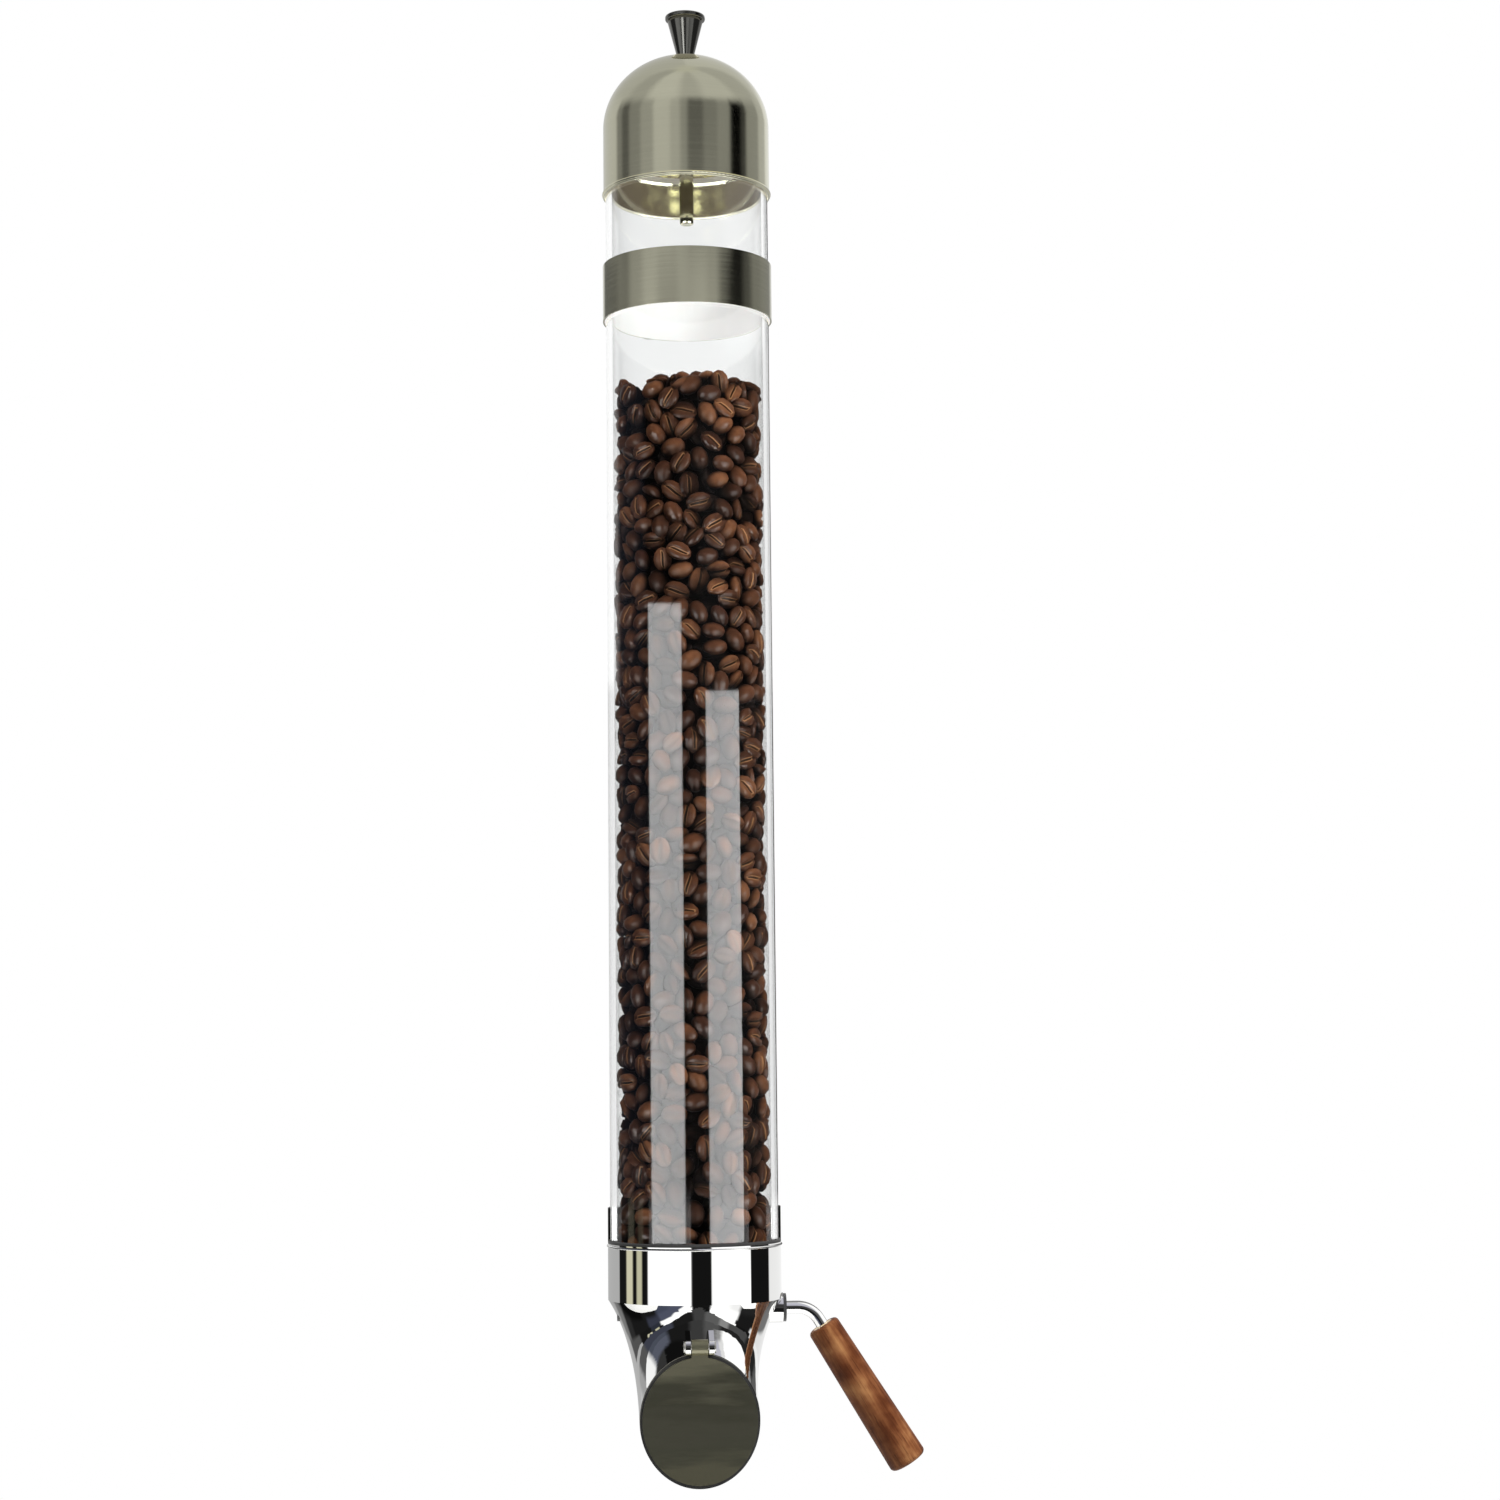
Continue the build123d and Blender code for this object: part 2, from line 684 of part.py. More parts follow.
# Crank on the shaft, with its grub screw and the pin for the link
with BuildPart() as crank_arm:
    with BuildSketch(side_plane(-crank_thickness / 2)):
        with Locations((0, lever_shaft_z)):
            Circle(crank_hub_radius)
        with Locations(crank_pin):
            Circle(crank_eye_radius)
        make_hull()
    extrude(amount=crank_thickness)
    with BuildSketch(side_plane(-crank_hub_length / 2)):
        with Locations((0, lever_shaft_z)):
            Circle(crank_hub_radius)
    extrude(amount=crank_hub_length)
    with BuildSketch(side_plane(-crank_hub_length / 2)):
        with Locations((0, lever_shaft_z)):
            Circle(lever_rod_radius)
    extrude(amount=crank_hub_length, mode=Mode.SUBTRACT)
    with BuildSketch(side_plane(-crank_thickness / 2)):
        with Locations(crank_pin):
            Circle(link_pin_radius)
    extrude(amount=crank_thickness, mode=Mode.SUBTRACT)
    with BuildSketch(tube_level(lever_shaft_z)):
        with Locations((-crank_screw_x, 0)):
            Circle(crank_screw_radius)
    extrude(amount=crank_hub_radius, mode=Mode.SUBTRACT)

with BuildPart() as crank_screw:
    with BuildSketch(tube_level(lever_shaft_z + lever_rod_radius)):
        with Locations((-crank_screw_x, 0)):
            Circle(crank_screw_radius)
    extrude(amount=crank_hub_radius - lever_rod_radius - crank_screw_sink)
    with BuildSketch(tube_level(lever_shaft_z + crank_hub_radius - crank_screw_sink - hex_key_depth)):
        with Locations((-crank_screw_x, 0)):
            RegularPolygon(crank_screw_radius / 2, 6)
    extrude(amount=hex_key_depth, mode=Mode.SUBTRACT)

# Link between the two pins
with BuildPart() as drive_link:
    with BuildSketch(side_plane(link_x)):
        with Locations(crank_pin, flap_pin):
            Circle(link_eye_radius)
        make_hull()
    extrude(amount=link_thickness)
    with BuildSketch(side_plane(link_x)):
        with Locations(crank_pin):
            Circle(link_pin_radius + running_gap)
        with Locations(flap_pin):
            Circle(link_pin_radius + 2 * running_gap)
    extrude(amount=link_thickness, mode=Mode.SUBTRACT)


def link_pin(spot, tail):
    """A headed pin pressed into a crank, with a groove's worth of tail past the link."""
    with BuildPart() as pin:
        with BuildSketch(side_plane(-crank_thickness / 2 - link_pin_head_height)):
            with Locations(spot):
                Circle(link_pin_head_radius)
        extrude(amount=link_pin_head_height)
        with BuildSketch(side_plane(-crank_thickness / 2)):
            with Locations(spot):
                Circle(link_pin_radius)
        extrude(amount=tail + crank_thickness / 2)
    return pin.part


def pin_clip(spot):
    """A round clip that keeps the link on its pin."""
    with BuildPart() as clip:
        with BuildSketch(side_plane(clip_x)):
            with Locations(spot):
                Circle(link_pin_head_radius)
                Circle(link_pin_radius, mode=Mode.SUBTRACT)
        extrude(amount=link_pin_head_height)
    return clip.part


# Return spring: a straight leg, the coil and another straight leg, one wire
with BuildPart() as upright_spring:
    with BuildLine() as spring_line:
        coil = Helix(spring_pitch, spring_pitch * spring_turns, spring_mean_radius, lefthand=True)
        push_leg = Line(coil @ 0 - (coil % 0) * spring_push_leg, coil @ 0)
        Line(coil @ 1, coil @ 1 + (coil % 1) * spring_rest_leg)
    with BuildSketch(Plane(push_leg @ 0, z_dir=push_leg % 0)):
        Circle(spring_wire_radius)
    sweep(path=spring_line.wire())

spring_plane = Plane(
    (spring_start_x, axis_y, lever_shaft_z),
    x_dir=(0, spring_out[0], spring_out[1]),
    z_dir=(1, 0, 0),
)
with BuildPart() as return_spring:
    with Locations(spring_plane):
        add(upright_spring.part)
print("spring: least gap between turns", round(spring_pitch - 2 * spring_wire_radius, 2),
      "mean radius", spring_mean_radius, "wire radius", spring_wire_radius)

# Upper clamp: a split band with two ears, on a soft liner
with BuildPart() as clamp_band:
    with BuildSketch(tube_level(clamp_z - clamp_height / 2)):
        Circle(clamp_radius)
        Circle(liner_radius, mode=Mode.SUBTRACT)
        with Locations((0, clamp_radius)):
            Rectangle(clamp_split, 4 * clamp_wall, mode=Mode.SUBTRACT)
    extrude(amount=clamp_height)
    for side in (-1, 1):
        with BuildSketch(side_plane(side * clamp_split / 2)):
            with Locations((clamp_radius + ear_length / 2 - clamp_wall / 4, clamp_z)):
                Rectangle(ear_length + clamp_wall / 2, ear_height)
        extrude(amount=side * ear_wall)
    with BuildSketch(side_plane(-collar_radius)):
        with Locations((clamp_screw_y, clamp_z)):
            Circle(clamp_screw_radius)
    extrude(amount=2 * collar_radius, mode=Mode.SUBTRACT)

with BuildPart() as clamp_liner:
    with BuildSketch(tube_level(clamp_z - clamp_height / 2)):
        Circle(liner_radius)
        Circle(tube_outer_radius, mode=Mode.SUBTRACT)
    extrude(amount=clamp_height)

with BuildPart() as clamp_screw:
    with BuildSketch(side_plane(-ear_outer_x)):
        with Locations((clamp_screw_y, clamp_z)):
            Circle(clamp_screw_radius)
    extrude(amount=2 * ear_outer_x + clamp_nut_height + 1)
    with BuildSketch(side_plane(-ear_outer_x)):
        with Locations((clamp_screw_y, clamp_z)):
            Circle(clamp_screw_head_radius)
    extrude(amount=-clamp_screw_head_height)
    with BuildSketch(side_plane(-ear_outer_x - clamp_screw_head_height)):
        with Locations((clamp_screw_y, clamp_z)):
            RegularPolygon(clamp_screw_radius * 0.8, 6)
    extrude(amount=hex_key_depth, mode=Mode.SUBTRACT)

with BuildPart() as clamp_nut:
    with BuildSketch(side_plane(ear_outer_x)):
        with Locations((clamp_screw_y, clamp_z)):
            RegularPolygon(clamp_nut_radius, 6)
            Circle(clamp_screw_radius, mode=Mode.SUBTRACT)
    extrude(amount=clamp_nut_height)

with BuildPart() as upper_standoff:
    with BuildSketch(wall_plane(plate_face_y, clamp_z)):
        Circle(upper_standoff_radius)
    extrude(amount=upper_standoff_length)
    with BuildSketch(side_plane(-clamp_split / 2)):
        tongue_start = clamp_radius + tongue_gap
        tongue_end = wall_distance + plate_face_y - upper_standoff_length
        with Locations(((tongue_start + tongue_end) / 2, clamp_z)):
            Rectangle(tongue_end - tongue_start, ear_height)
    extrude(amount=clamp_split)
    with BuildSketch(side_plane(-clamp_split)):
        with Locations((clamp_screw_y, clamp_z)):
            Circle(clamp_screw_radius)
    extrude(amount=2 * clamp_split, mode=Mode.SUBTRACT)
    with BuildSketch(wall_plane(plate_face_y, clamp_z)):
        Circle(bracket_screw_radius)
    extrude(amount=bracket_screw_grip, mode=Mode.SUBTRACT)

with BuildPart(wall_plane(plate_face_y, clamp_z + upper_plate_lift)) as upper_wall_plate:
    with BuildSketch(wall_plane(plate_face_y, clamp_z + upper_plate_lift)):
        RectangleRounded(plate_width, upper_plate_height, plate_corner)
    extrude(amount=-plate_thickness)
    with GridLocations(upper_screw_spacing, 0, 2, 1):
        CounterSinkHole(wall_screw_hole_radius, wall_screw_head_radius)
    with BuildSketch(bracket_screw_plane(clamp_z)):
        add(bracket_hole)
    revolve(axis=bracket_screw_axis(clamp_z), mode=Mode.SUBTRACT)

with BuildPart() as upper_bracket_screw:
    with BuildSketch(bracket_screw_plane(clamp_z)):
        add(upper_screw)
    revolve(axis=bracket_screw_axis(clamp_z))


def dome_solid(radius, rim_z, top_z):
    """A solid with an upright skirt and a half-oval top."""
    with BuildPart() as solid:
        with BuildSketch(tube_section):
            with BuildLine():
                side_line = Line((radius, rim_z), (radius, dome_base_z))
                dome_line = EllipticalCenterArc((0, dome_base_z), radius, top_z - dome_base_z,
                                                arc_size=90)
                Polyline(dome_line @ 1, (0, rim_z), side_line @ 0)
            make_face()
        revolve(axis=tube_axis)
    return solid.part


# Lid: a spun dome that slips over the glass
dome_outside = dome_solid(lid_radius, lid_rim_z, dome_top_z)
dome_inside = dome_solid(lid_inner_radius, lid_rim_z, dome_top_z - lid_wall)
with BuildPart() as lid_dome:
    add(dome_outside)
    with BuildSketch(tube_section):
        with Locations((lid_radius, lid_rim_z + lid_bead)):
            Circle(lid_bead)
    revolve(axis=tube_axis)
    add(dome_inside, mode=Mode.SUBTRACT)
    with BuildSketch(tube_level(dome_base_z)):
        Circle(stem_thread_radius)
    extrude(amount=2 * dome_height, mode=Mode.SUBTRACT)

with BuildPart() as lid_gasket:
    with BuildSketch(tube_level(tube_top_z)):
        Circle(lid_inner_radius)
        Circle(lid_inner_radius - seat_ring_width, mode=Mode.SUBTRACT)
    extrude(amount=lid_gasket_thickness)

with BuildPart() as lid_seat_ring:
    with BuildSketch(tube_level(tube_top_z + lid_gasket_thickness)):
        Circle(lid_inner_radius)
        Circle(lid_inner_radius - seat_ring_width, mode=Mode.SUBTRACT)
    extrude(amount=seat_ring_thickness)

with BuildPart() as lid_knob:
    with BuildSketch(tube_section):
        with BuildLine():
            cone_top = dome_top_z + knob_cone_height
            cap_bottom = cone_top + knob_cap_neck
            cap_top = cap_bottom + knob_cap_thickness
            Polyline((0, dome_top_z), (knob_foot_radius, dome_top_z), (knob_top_radius, cone_top),
                     (knob_neck_radius, cone_top), (knob_neck_radius, cap_bottom),
                     (knob_cap_radius, cap_bottom), (knob_cap_radius, cap_top), (0, cap_top),
                     close=True)
        make_face()
    revolve(axis=tube_axis)
    fillet(lid_knob.edges().filter_by(GeomType.CIRCLE).sort_by(Axis.Z)[-2:], 0.7)
    with BuildSketch(tube_level(dome_top_z)):
        Circle(stem_thread_radius)
    extrude(amount=stem_in_knob, mode=Mode.SUBTRACT)

with BuildPart() as lid_stem:
    with BuildSketch(tube_level(lid_rim_z - stem_hang)):
        Circle(stem_radius)
    extrude(amount=stem_top_z - lid_rim_z + stem_hang)
    fillet(lid_stem.edges().filter_by(GeomType.CIRCLE).sort_by(Axis.Z)[0], stem_radius / 3)
    with BuildSketch(tube_level(stem_top_z)):
        Circle(stem_thread_radius)
    extrude(amount=dome_top_z - stem_top_z + stem_in_knob)

with BuildPart() as lid_nut:
    with BuildSketch(tube_level(stem_top_z)):
        RegularPolygon(lid_nut_radius, 6)
        Circle(stem_thread_radius, mode=Mode.SUBTRACT)
    extrude(amount=lid_nut_height)

with BuildPart() as lid_washer:
    with BuildSketch(tube_level(stem_top_z + lid_nut_height)):
        Circle(lid_washer_radius)
        Circle(stem_thread_radius, mode=Mode.SUBTRACT)
    extrude(amount=lid_washer_height)

parts = {
    "outlet_body": outlet_body.part,
    "glass_tube": glass_tube.part,
    "tube_seat_gasket": tube_seat_gasket.part,
    "bean_fill": bean_fill.part,
    "collar_set_screws": collar_set_screws.part,
    "lower_wall_plate": lower_wall_plate.part,
    "lower_standoff": lower_standoff.part,
    "lower_bracket_screw": lower_bracket_screw.part,
    "shaft_bush_right": shaft_bush_right.part,
    "shaft_bush_left": shaft_bush_left.part,
    "mouth_seal": mouth_seal.part,
    "flap_hinge_pin": flap_hinge_pin.part,
    "return_spring": return_spring.part,
    "clamp_band": clamp_band.part,
    "clamp_liner": clamp_liner.part,
    "clamp_screw": clamp_screw.part,
    "clamp_nut": clamp_nut.part,
    "upper_standoff": upper_standoff.part,
    "upper_wall_plate": upper_wall_plate.part,
    "upper_bracket_screw": upper_bracket_screw.part,
    "lever_rod": lever_rod.part,
    "wood_grip": wood_grip.part,
    "grip_insert": grip_insert.part,
    "crank_arm": crank_arm.part,
    "crank_screw": crank_screw.part,
    "crank_pin": link_pin(crank_pin, crank_pin_tail),
    "crank_pin_clip": pin_clip(crank_pin),
    "drive_link": drive_link.part,
    "flap_plate": flap_plate.part,
    "flap_lug": flap_lug.part,
    "flap_rivets": flap_rivets.part,
    "flap_pin": link_pin(flap_pin, flap_pin_tail),
    "flap_pin_clip": pin_clip(flap_pin),
    "lid_dome": lid_dome.part,
    "lid_gasket": lid_gasket.part,
    "lid_seat_ring": lid_seat_ring.part,
    "lid_knob": lid_knob.part,
    "lid_stem": lid_stem.part,
    "lid_nut": lid_nut.part,
    "lid_washer": lid_washer.part,
}
os.makedirs("parts", exist_ok=True)
for name, part in parts.items():
    finish(part, name)
    if len(part.solids()) != 1 or part.volume < 1:
        print(name, "solids", len(part.solids()), "volume", round(part.volume, 1))
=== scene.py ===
import json
import math
import random

import bmesh
import bpy
from mathutils import Matrix, Vector


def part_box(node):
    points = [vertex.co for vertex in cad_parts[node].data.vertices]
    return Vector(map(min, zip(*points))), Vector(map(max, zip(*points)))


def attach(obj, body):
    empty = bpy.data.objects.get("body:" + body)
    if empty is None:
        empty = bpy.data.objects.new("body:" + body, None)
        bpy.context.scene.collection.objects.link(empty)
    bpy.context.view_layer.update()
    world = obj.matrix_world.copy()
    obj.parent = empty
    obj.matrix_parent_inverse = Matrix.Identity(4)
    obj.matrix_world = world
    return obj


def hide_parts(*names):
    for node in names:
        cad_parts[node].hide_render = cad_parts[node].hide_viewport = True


bpy.context.scene.view_settings.view_transform = "Standard"
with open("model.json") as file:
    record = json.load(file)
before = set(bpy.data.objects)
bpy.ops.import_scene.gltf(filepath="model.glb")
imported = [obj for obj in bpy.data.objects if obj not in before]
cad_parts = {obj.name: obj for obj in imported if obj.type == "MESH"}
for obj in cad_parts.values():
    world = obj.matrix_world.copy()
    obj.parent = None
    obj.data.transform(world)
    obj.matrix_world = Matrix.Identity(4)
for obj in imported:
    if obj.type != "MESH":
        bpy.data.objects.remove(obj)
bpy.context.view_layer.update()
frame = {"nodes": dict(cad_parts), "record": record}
nodes = frame["nodes"]
axisY = (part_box("glass_tube")[0].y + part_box("glass_tube")[1].y) / 2
print("frame loaded")

# Camera, as far from the tube as the photograph's perspective says
camera = {
    "lens": 70.92,
    "distance": 1.2109,
    "height": 0.0887,
    "side": -2.4,  # degrees from straight ahead, seen from the left
    "turn": -1.163,  # puts the tube left of the middle
    "pitch": 6.52,
    "roll": -0.58,
    "shift": -0.03,
}


def addCamera():
    side = math.radians(camera["side"])
    data = bpy.data.cameras.new("camera")
    data.lens = camera["lens"]
    data.sensor_width = 36.0
    data.shift_y = camera["shift"]
    data.clip_start = 0.01
    item = bpy.data.objects.new("camera", data)
    bpy.context.scene.collection.objects.link(item)
    item.location = (
        camera["distance"] * math.sin(side),
        axisY - camera["distance"] * math.cos(side),
        camera["height"],
    )
    heading = Matrix.Rotation(math.radians(camera["side"] + camera["turn"]), 4, "Z")
    upright = Matrix.Rotation(math.radians(90 + camera["pitch"]), 4, "X")
    roll = Matrix.Rotation(math.radians(camera["roll"]), 4, "Z")
    item.rotation_euler = (heading @ upright @ roll).to_euler()
    bpy.context.scene.camera = item


addCamera()


# Shader maths: a wrapped socket takes part in Python expressions
class Wire:
    def __init__(self, graph, socket):
        self.graph = graph
        self.socket = socket

    def maths(self, operation, *others):
        return self.graph.add("ShaderNodeMath", {"operation": operation}, dict(enumerate((self, *others))))

    def __add__(self, other):
        return self.maths("ADD", other)

    __radd__ = __add__

    def __sub__(self, other):
        return self.maths("SUBTRACT", other)

    def __rsub__(self, other):
        return (self * -1.0).maths("ADD", other)

    def __mul__(self, other):
        return self.maths("MULTIPLY", other)

    __rmul__ = __mul__

    def __truediv__(self, other):
        return self.maths("DIVIDE", other)

    def above(self, low, high):
        return self.graph.add(
            "ShaderNodeMapRange",
            {"interpolation_type": "SMOOTHSTEP"},
            {"Value": self, "From Min": low, "From Max": high},
        )


class Graph:
    def __init__(self, owner):
        owner.use_nodes = True
        self.tree = owner.node_tree
        self.tree.nodes.clear()

    def add(self, kind, settings=None, inputs=None, out=0):
        node = self.tree.nodes.new(kind)
        for key, value in (settings or {}).items():
            if key == "stops":
                self.setStops(node.color_ramp.elements, value)
            else:
                setattr(node, key, value)
        for key, value in (inputs or {}).items():
            if isinstance(value, Wire):
                self.tree.links.new(value.socket, node.inputs[key])
            else:
                node.inputs[key].default_value = value
        return None if out is None else Wire(self, node.outputs[out])

    def setStops(self, elements, stops):
        while len(elements) < len(stops):
            elements.new(0.5)
        for element, (place, colour) in zip(elements, stops):
            element.position = place
            element.color = (*colour, 1.0)

    def ramp(self, wire, stops):
        return self.add("ShaderNodeValToRGB", {"stops": stops}, {0: wire})

    def mix(self, factor, first, second, kind="MIX"):
        tones = [(*tone, 1.0) if isinstance(tone, tuple) else tone for tone in (first, second)]
        return self.add(
            "ShaderNodeMix",
            {"data_type": "RGBA", "blend_type": kind},
            {0: factor, 6: tones[0], 7: tones[1]},
            out=2,
        )

    def place(self, scale=(1, 1, 1), rotation=(0, 0, 0)):
        spot = self.add("ShaderNodeTexCoord", out="Object")
        return self.add("ShaderNodeMapping", {}, {"Vector": spot, "Rotation": rotation, "Scale": scale})

    def height(self):
        return self.add("ShaderNodeSeparateXYZ", {}, {0: self.place()}, out="Z")

    def noise(self, vector, scale, detail=3.0, rough=0.5):
        return self.add(
            "ShaderNodeTexNoise",
            {},
            {"Vector": vector, "Scale": scale, "Detail": detail, "Roughness": rough},
        )

    def bump(self, height, strength, distance):
        return self.add("ShaderNodeBump", {}, {"Height": height, "Strength": strength, "Distance": distance})

    def surface(self, **inputs):
        names = {
            "colour": "Base Color", "rough": "Roughness", "metal": "Metallic", "normal": "Normal",
            "coat": "Coat Weight", "coatRough": "Coat Roughness", "through": "Transmission Weight",
            "bend": "IOR", "streak": "Anisotropic", "specular": "Specular IOR Level",
            "under": "Subsurface Weight", "underScale": "Subsurface Scale",
            "glow": "Emission Color", "glowLevel": "Emission Strength",
        }
        return self.add("ShaderNodeBsdfPrincipled", {}, {names[k]: v for k, v in inputs.items()})

    def finish(self, shader, kind="ShaderNodeOutputMaterial"):
        self.add(kind, {}, {"Surface": shader}, out=None)


def newMaterial(name):
    material = bpy.data.materials.new(name)
    return material, Graph(material)


def polishedMetal():
    material, g = newMaterial("polishedMetal")
    wave = g.noise(g.place(), 14.0, 1.0)
    g.finish(g.surface(
        colour=(0.80, 0.80, 0.79, 1.0),
        metal=1.0,
        rough=0.0,
        normal=g.bump(wave, 0.25, 0.0006),
    ))
    return material


def brushedNickel():
    material, g = newMaterial("brushedNickel")
    lines = g.noise(g.place(scale=(6, 6, 1400)), 1.0, 5.0, 0.6)
    cloud = g.noise(g.place(), 22.0, 3.0)
    # painted light: the lid's inner faces glow dimly, and brightly along the inside of the rim as a painted
    # highlight
    low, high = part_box("lid_dome")
    centre = (0, axisY, high.z - (high.x - low.x) / 2)
    outward = g.add("ShaderNodeVectorMath", {"operation": "SUBTRACT"}, {0: g.place(), 1: centre})
    normal = g.add("ShaderNodeNewGeometry", out="True Normal")
    facing = g.add("ShaderNodeVectorMath", {"operation": "DOT_PRODUCT"}, {0: outward, 1: normal}, out="Value")
    inside = facing.above(-0.001, -0.002) * g.height().above(low.z - 0.002, low.z - 0.001)
    under = g.height().above(low.z + 0.0004, low.z + 0.0006)
    g.finish(g.surface(
        colour=g.mix(lines * 0.5 + cloud * 0.5, (0.516, 0.507, 0.391), (0.672, 0.661, 0.510)),
        metal=1.0,
        rough=0.035 + lines * 0.10 + cloud * 0.04,
        streak=0.6,
        glow=g.mix(inside, (0.0, 0.0, 0.0), g.mix(under, (0.62, 0.60, 0.50), (0.062, 0.051, 0.041))),
        glowLevel=1.0,
        normal=g.bump(lines, 0.25, 0.00001),
    ))
    return material


def flapMetal():
    material, g = newMaterial("flapMetal")
    low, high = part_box("flap_plate")
    lines = g.noise(g.place(scale=(14, 14, 900)), 1.0, 5.0, 0.6)
    bandShift = g.noise(g.place(scale=(28, 28, 170)), 1.0, 4.0, 0.55)
    # painted reflection and shade: the tone follows height, dark in the middle and lightest near the top, and a
    # noise moves its bands
    tone = g.ramp((g.height() - low.z) / (high.z - low.z) + (bandShift - 0.5) * 0.7, [
        (0.05, (0.165, 0.158, 0.108)),
        (0.22, (0.110, 0.110, 0.080)),
        (0.38, (0.118, 0.116, 0.086)),
        (0.58, (0.098, 0.097, 0.070)),
        (0.85, (0.240, 0.230, 0.160)),
    ])
    g.finish(g.surface(
        colour=tone,
        metal=1.0,
        rough=0.36 + (lines - 0.5) * 0.10,
        streak=0.3,
        normal=g.bump(lines, 0.25, 0.00003),
    ))
    return material


def clearGlass():
    material, g = newMaterial("clearGlass")
    glass = g.surface(
        colour=(0.985, 0.992, 0.99, 1.0),
        rough=0.0,
        through=1.0,
        bend=1.47,
    )
    # the lamps shine through it without a dark shadow
    clear = g.add("ShaderNodeBsdfTransparent", {}, {"Color": (0.97, 0.98, 0.975, 1.0)})
    shadow = g.add("ShaderNodeLightPath", out="Is Shadow Ray")
    g.finish(g.add("ShaderNodeMixShader", {}, {0: shadow, 1: glass, 2: clear}))
    return material


def silicone():
    material, g = newMaterial("silicone")
    cloud = g.noise(g.place(), 90.0, 3.0)
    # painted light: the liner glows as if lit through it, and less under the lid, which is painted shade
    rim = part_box("lid_dome")[0].z
    g.finish(g.surface(
        colour=g.mix(cloud, (0.36, 0.36, 0.35), (0.43, 0.43, 0.42)),
        rough=0.38 + cloud * 0.1,
        under=0.3,
        underScale=0.002,
        glow=g.mix(g.height().above(rim + 0.001, rim + 0.002), (0.95, 0.93, 0.92), (0.42, 0.40, 0.33)),
        glowLevel=0.70,
    ))
    return material


def plainFinish(name, colour, rough, metal=0.0, grainScale=220.0, spread=0.12, bumpDepth=0.00004):
    material, g = newMaterial(name)
    fine = g.noise(g.place(), grainScale, 3.0)
    cloud = g.noise(g.place(), 30.0, 2.0)
    tone = g.mix(
        fine * 0.4 + cloud * 0.6,
        tuple(c * (1 - spread) for c in colour),
        tuple(min(1.0, c * (1 + spread)) for c in colour),
    )
    g.finish(g.surface(
        colour=tone,
        rough=rough + (fine - 0.5) * 0.12,
        metal=metal,
        normal=g.bump(fine, 0.3, bumpDepth),
    ))
    return material


def gripWood():
    material, g = newMaterial("gripWood")
    spot = g.place(rotation=(0, math.radians(32.1), 0))  # along the grip
    drawn = g.add("ShaderNodeVectorMath", {"operation": "MULTIPLY"}, {0: spot, 1: (1.0, 1.0, 0.07)})
    grain = g.noise(drawn, 420.0, 6.0, 0.65)
    figure = g.noise(drawn, 130.0, 3.0)
    mottle = g.noise(spot, 75.0, 3.0)
    pores = g.noise(drawn, 1500.0, 2.0)
    tone = g.ramp(grain * 0.27 + figure * 0.28 + mottle * 0.45, [
        (0.36, (0.028, 0.007, 0.003)),
        (0.45, (0.074, 0.022, 0.008)),
        (0.53, (0.142, 0.052, 0.020)),
        (0.64, (0.285, 0.135, 0.054)),
    ])
    g.finish(g.surface(
        colour=g.mix(pores.above(0.58, 0.70) * 0.55, tone, (0.035, 0.010, 0.004)),
        rough=0.40 + pores * 0.14,
        specular=0.08,
        coat=0.02,
        coatRough=0.22,
        normal=g.bump(grain + pores * 0.4, 0.25, 0.00010),
    ))
    return material


def beanSkin():
    material, g = newMaterial("beanSkin")
    tone = g.add("ShaderNodeAttribute", {"attribute_name": "beanTone"}, out="Fac")
    crease = g.add("ShaderNodeAttribute", {"attribute_name": "beanCrease"}, out="Fac")
    depth = g.add("ShaderNodeAttribute", {"attribute_name": "beanDepth"}, out="Fac")
    fine = g.noise(g.place(), 1100.0, 3.0)
    patch = g.noise(g.place(), 300.0, 2.0)
    skin = g.ramp(tone * 0.6 + patch * 0.4, [
        (0.20, (0.024, 0.009, 0.005)),
        (0.42, (0.039, 0.015, 0.0075)),
        (0.62, (0.070, 0.026, 0.012)),
        (0.82, (0.130, 0.052, 0.023)),
    ])
    # painted shade in the crease and a painted highlight on its two lips
    lipHighlight = crease.above(0.15, 0.42) * (1.0 - crease.above(0.42, 0.62))
    lipHighlighted = g.mix(lipHighlight * 0.85, skin, (0.40, 0.20, 0.090))
    creaseShaded = g.mix(crease.above(0.50, 0.72) * 0.92, lipHighlighted, (0.008, 0.004, 0.002))
    g.finish(g.surface(
        # painted shade: the deeper a point lies behind the face of the heap, the darker and rougher it is, and the
        # less coat it has
        colour=g.mix(depth.above(0.05, 0.80), creaseShaded, (0.003, 0.0015, 0.001)),
        rough=0.42 + fine * 0.2 + depth * 0.4,
        specular=0.12,
        coat=0.34 * (1.0 - depth.above(0.0, 0.6)),
        coatRough=0.22,
        normal=g.bump(fine * 0.5 + patch, 0.3, 0.0002),
    ))
    return material


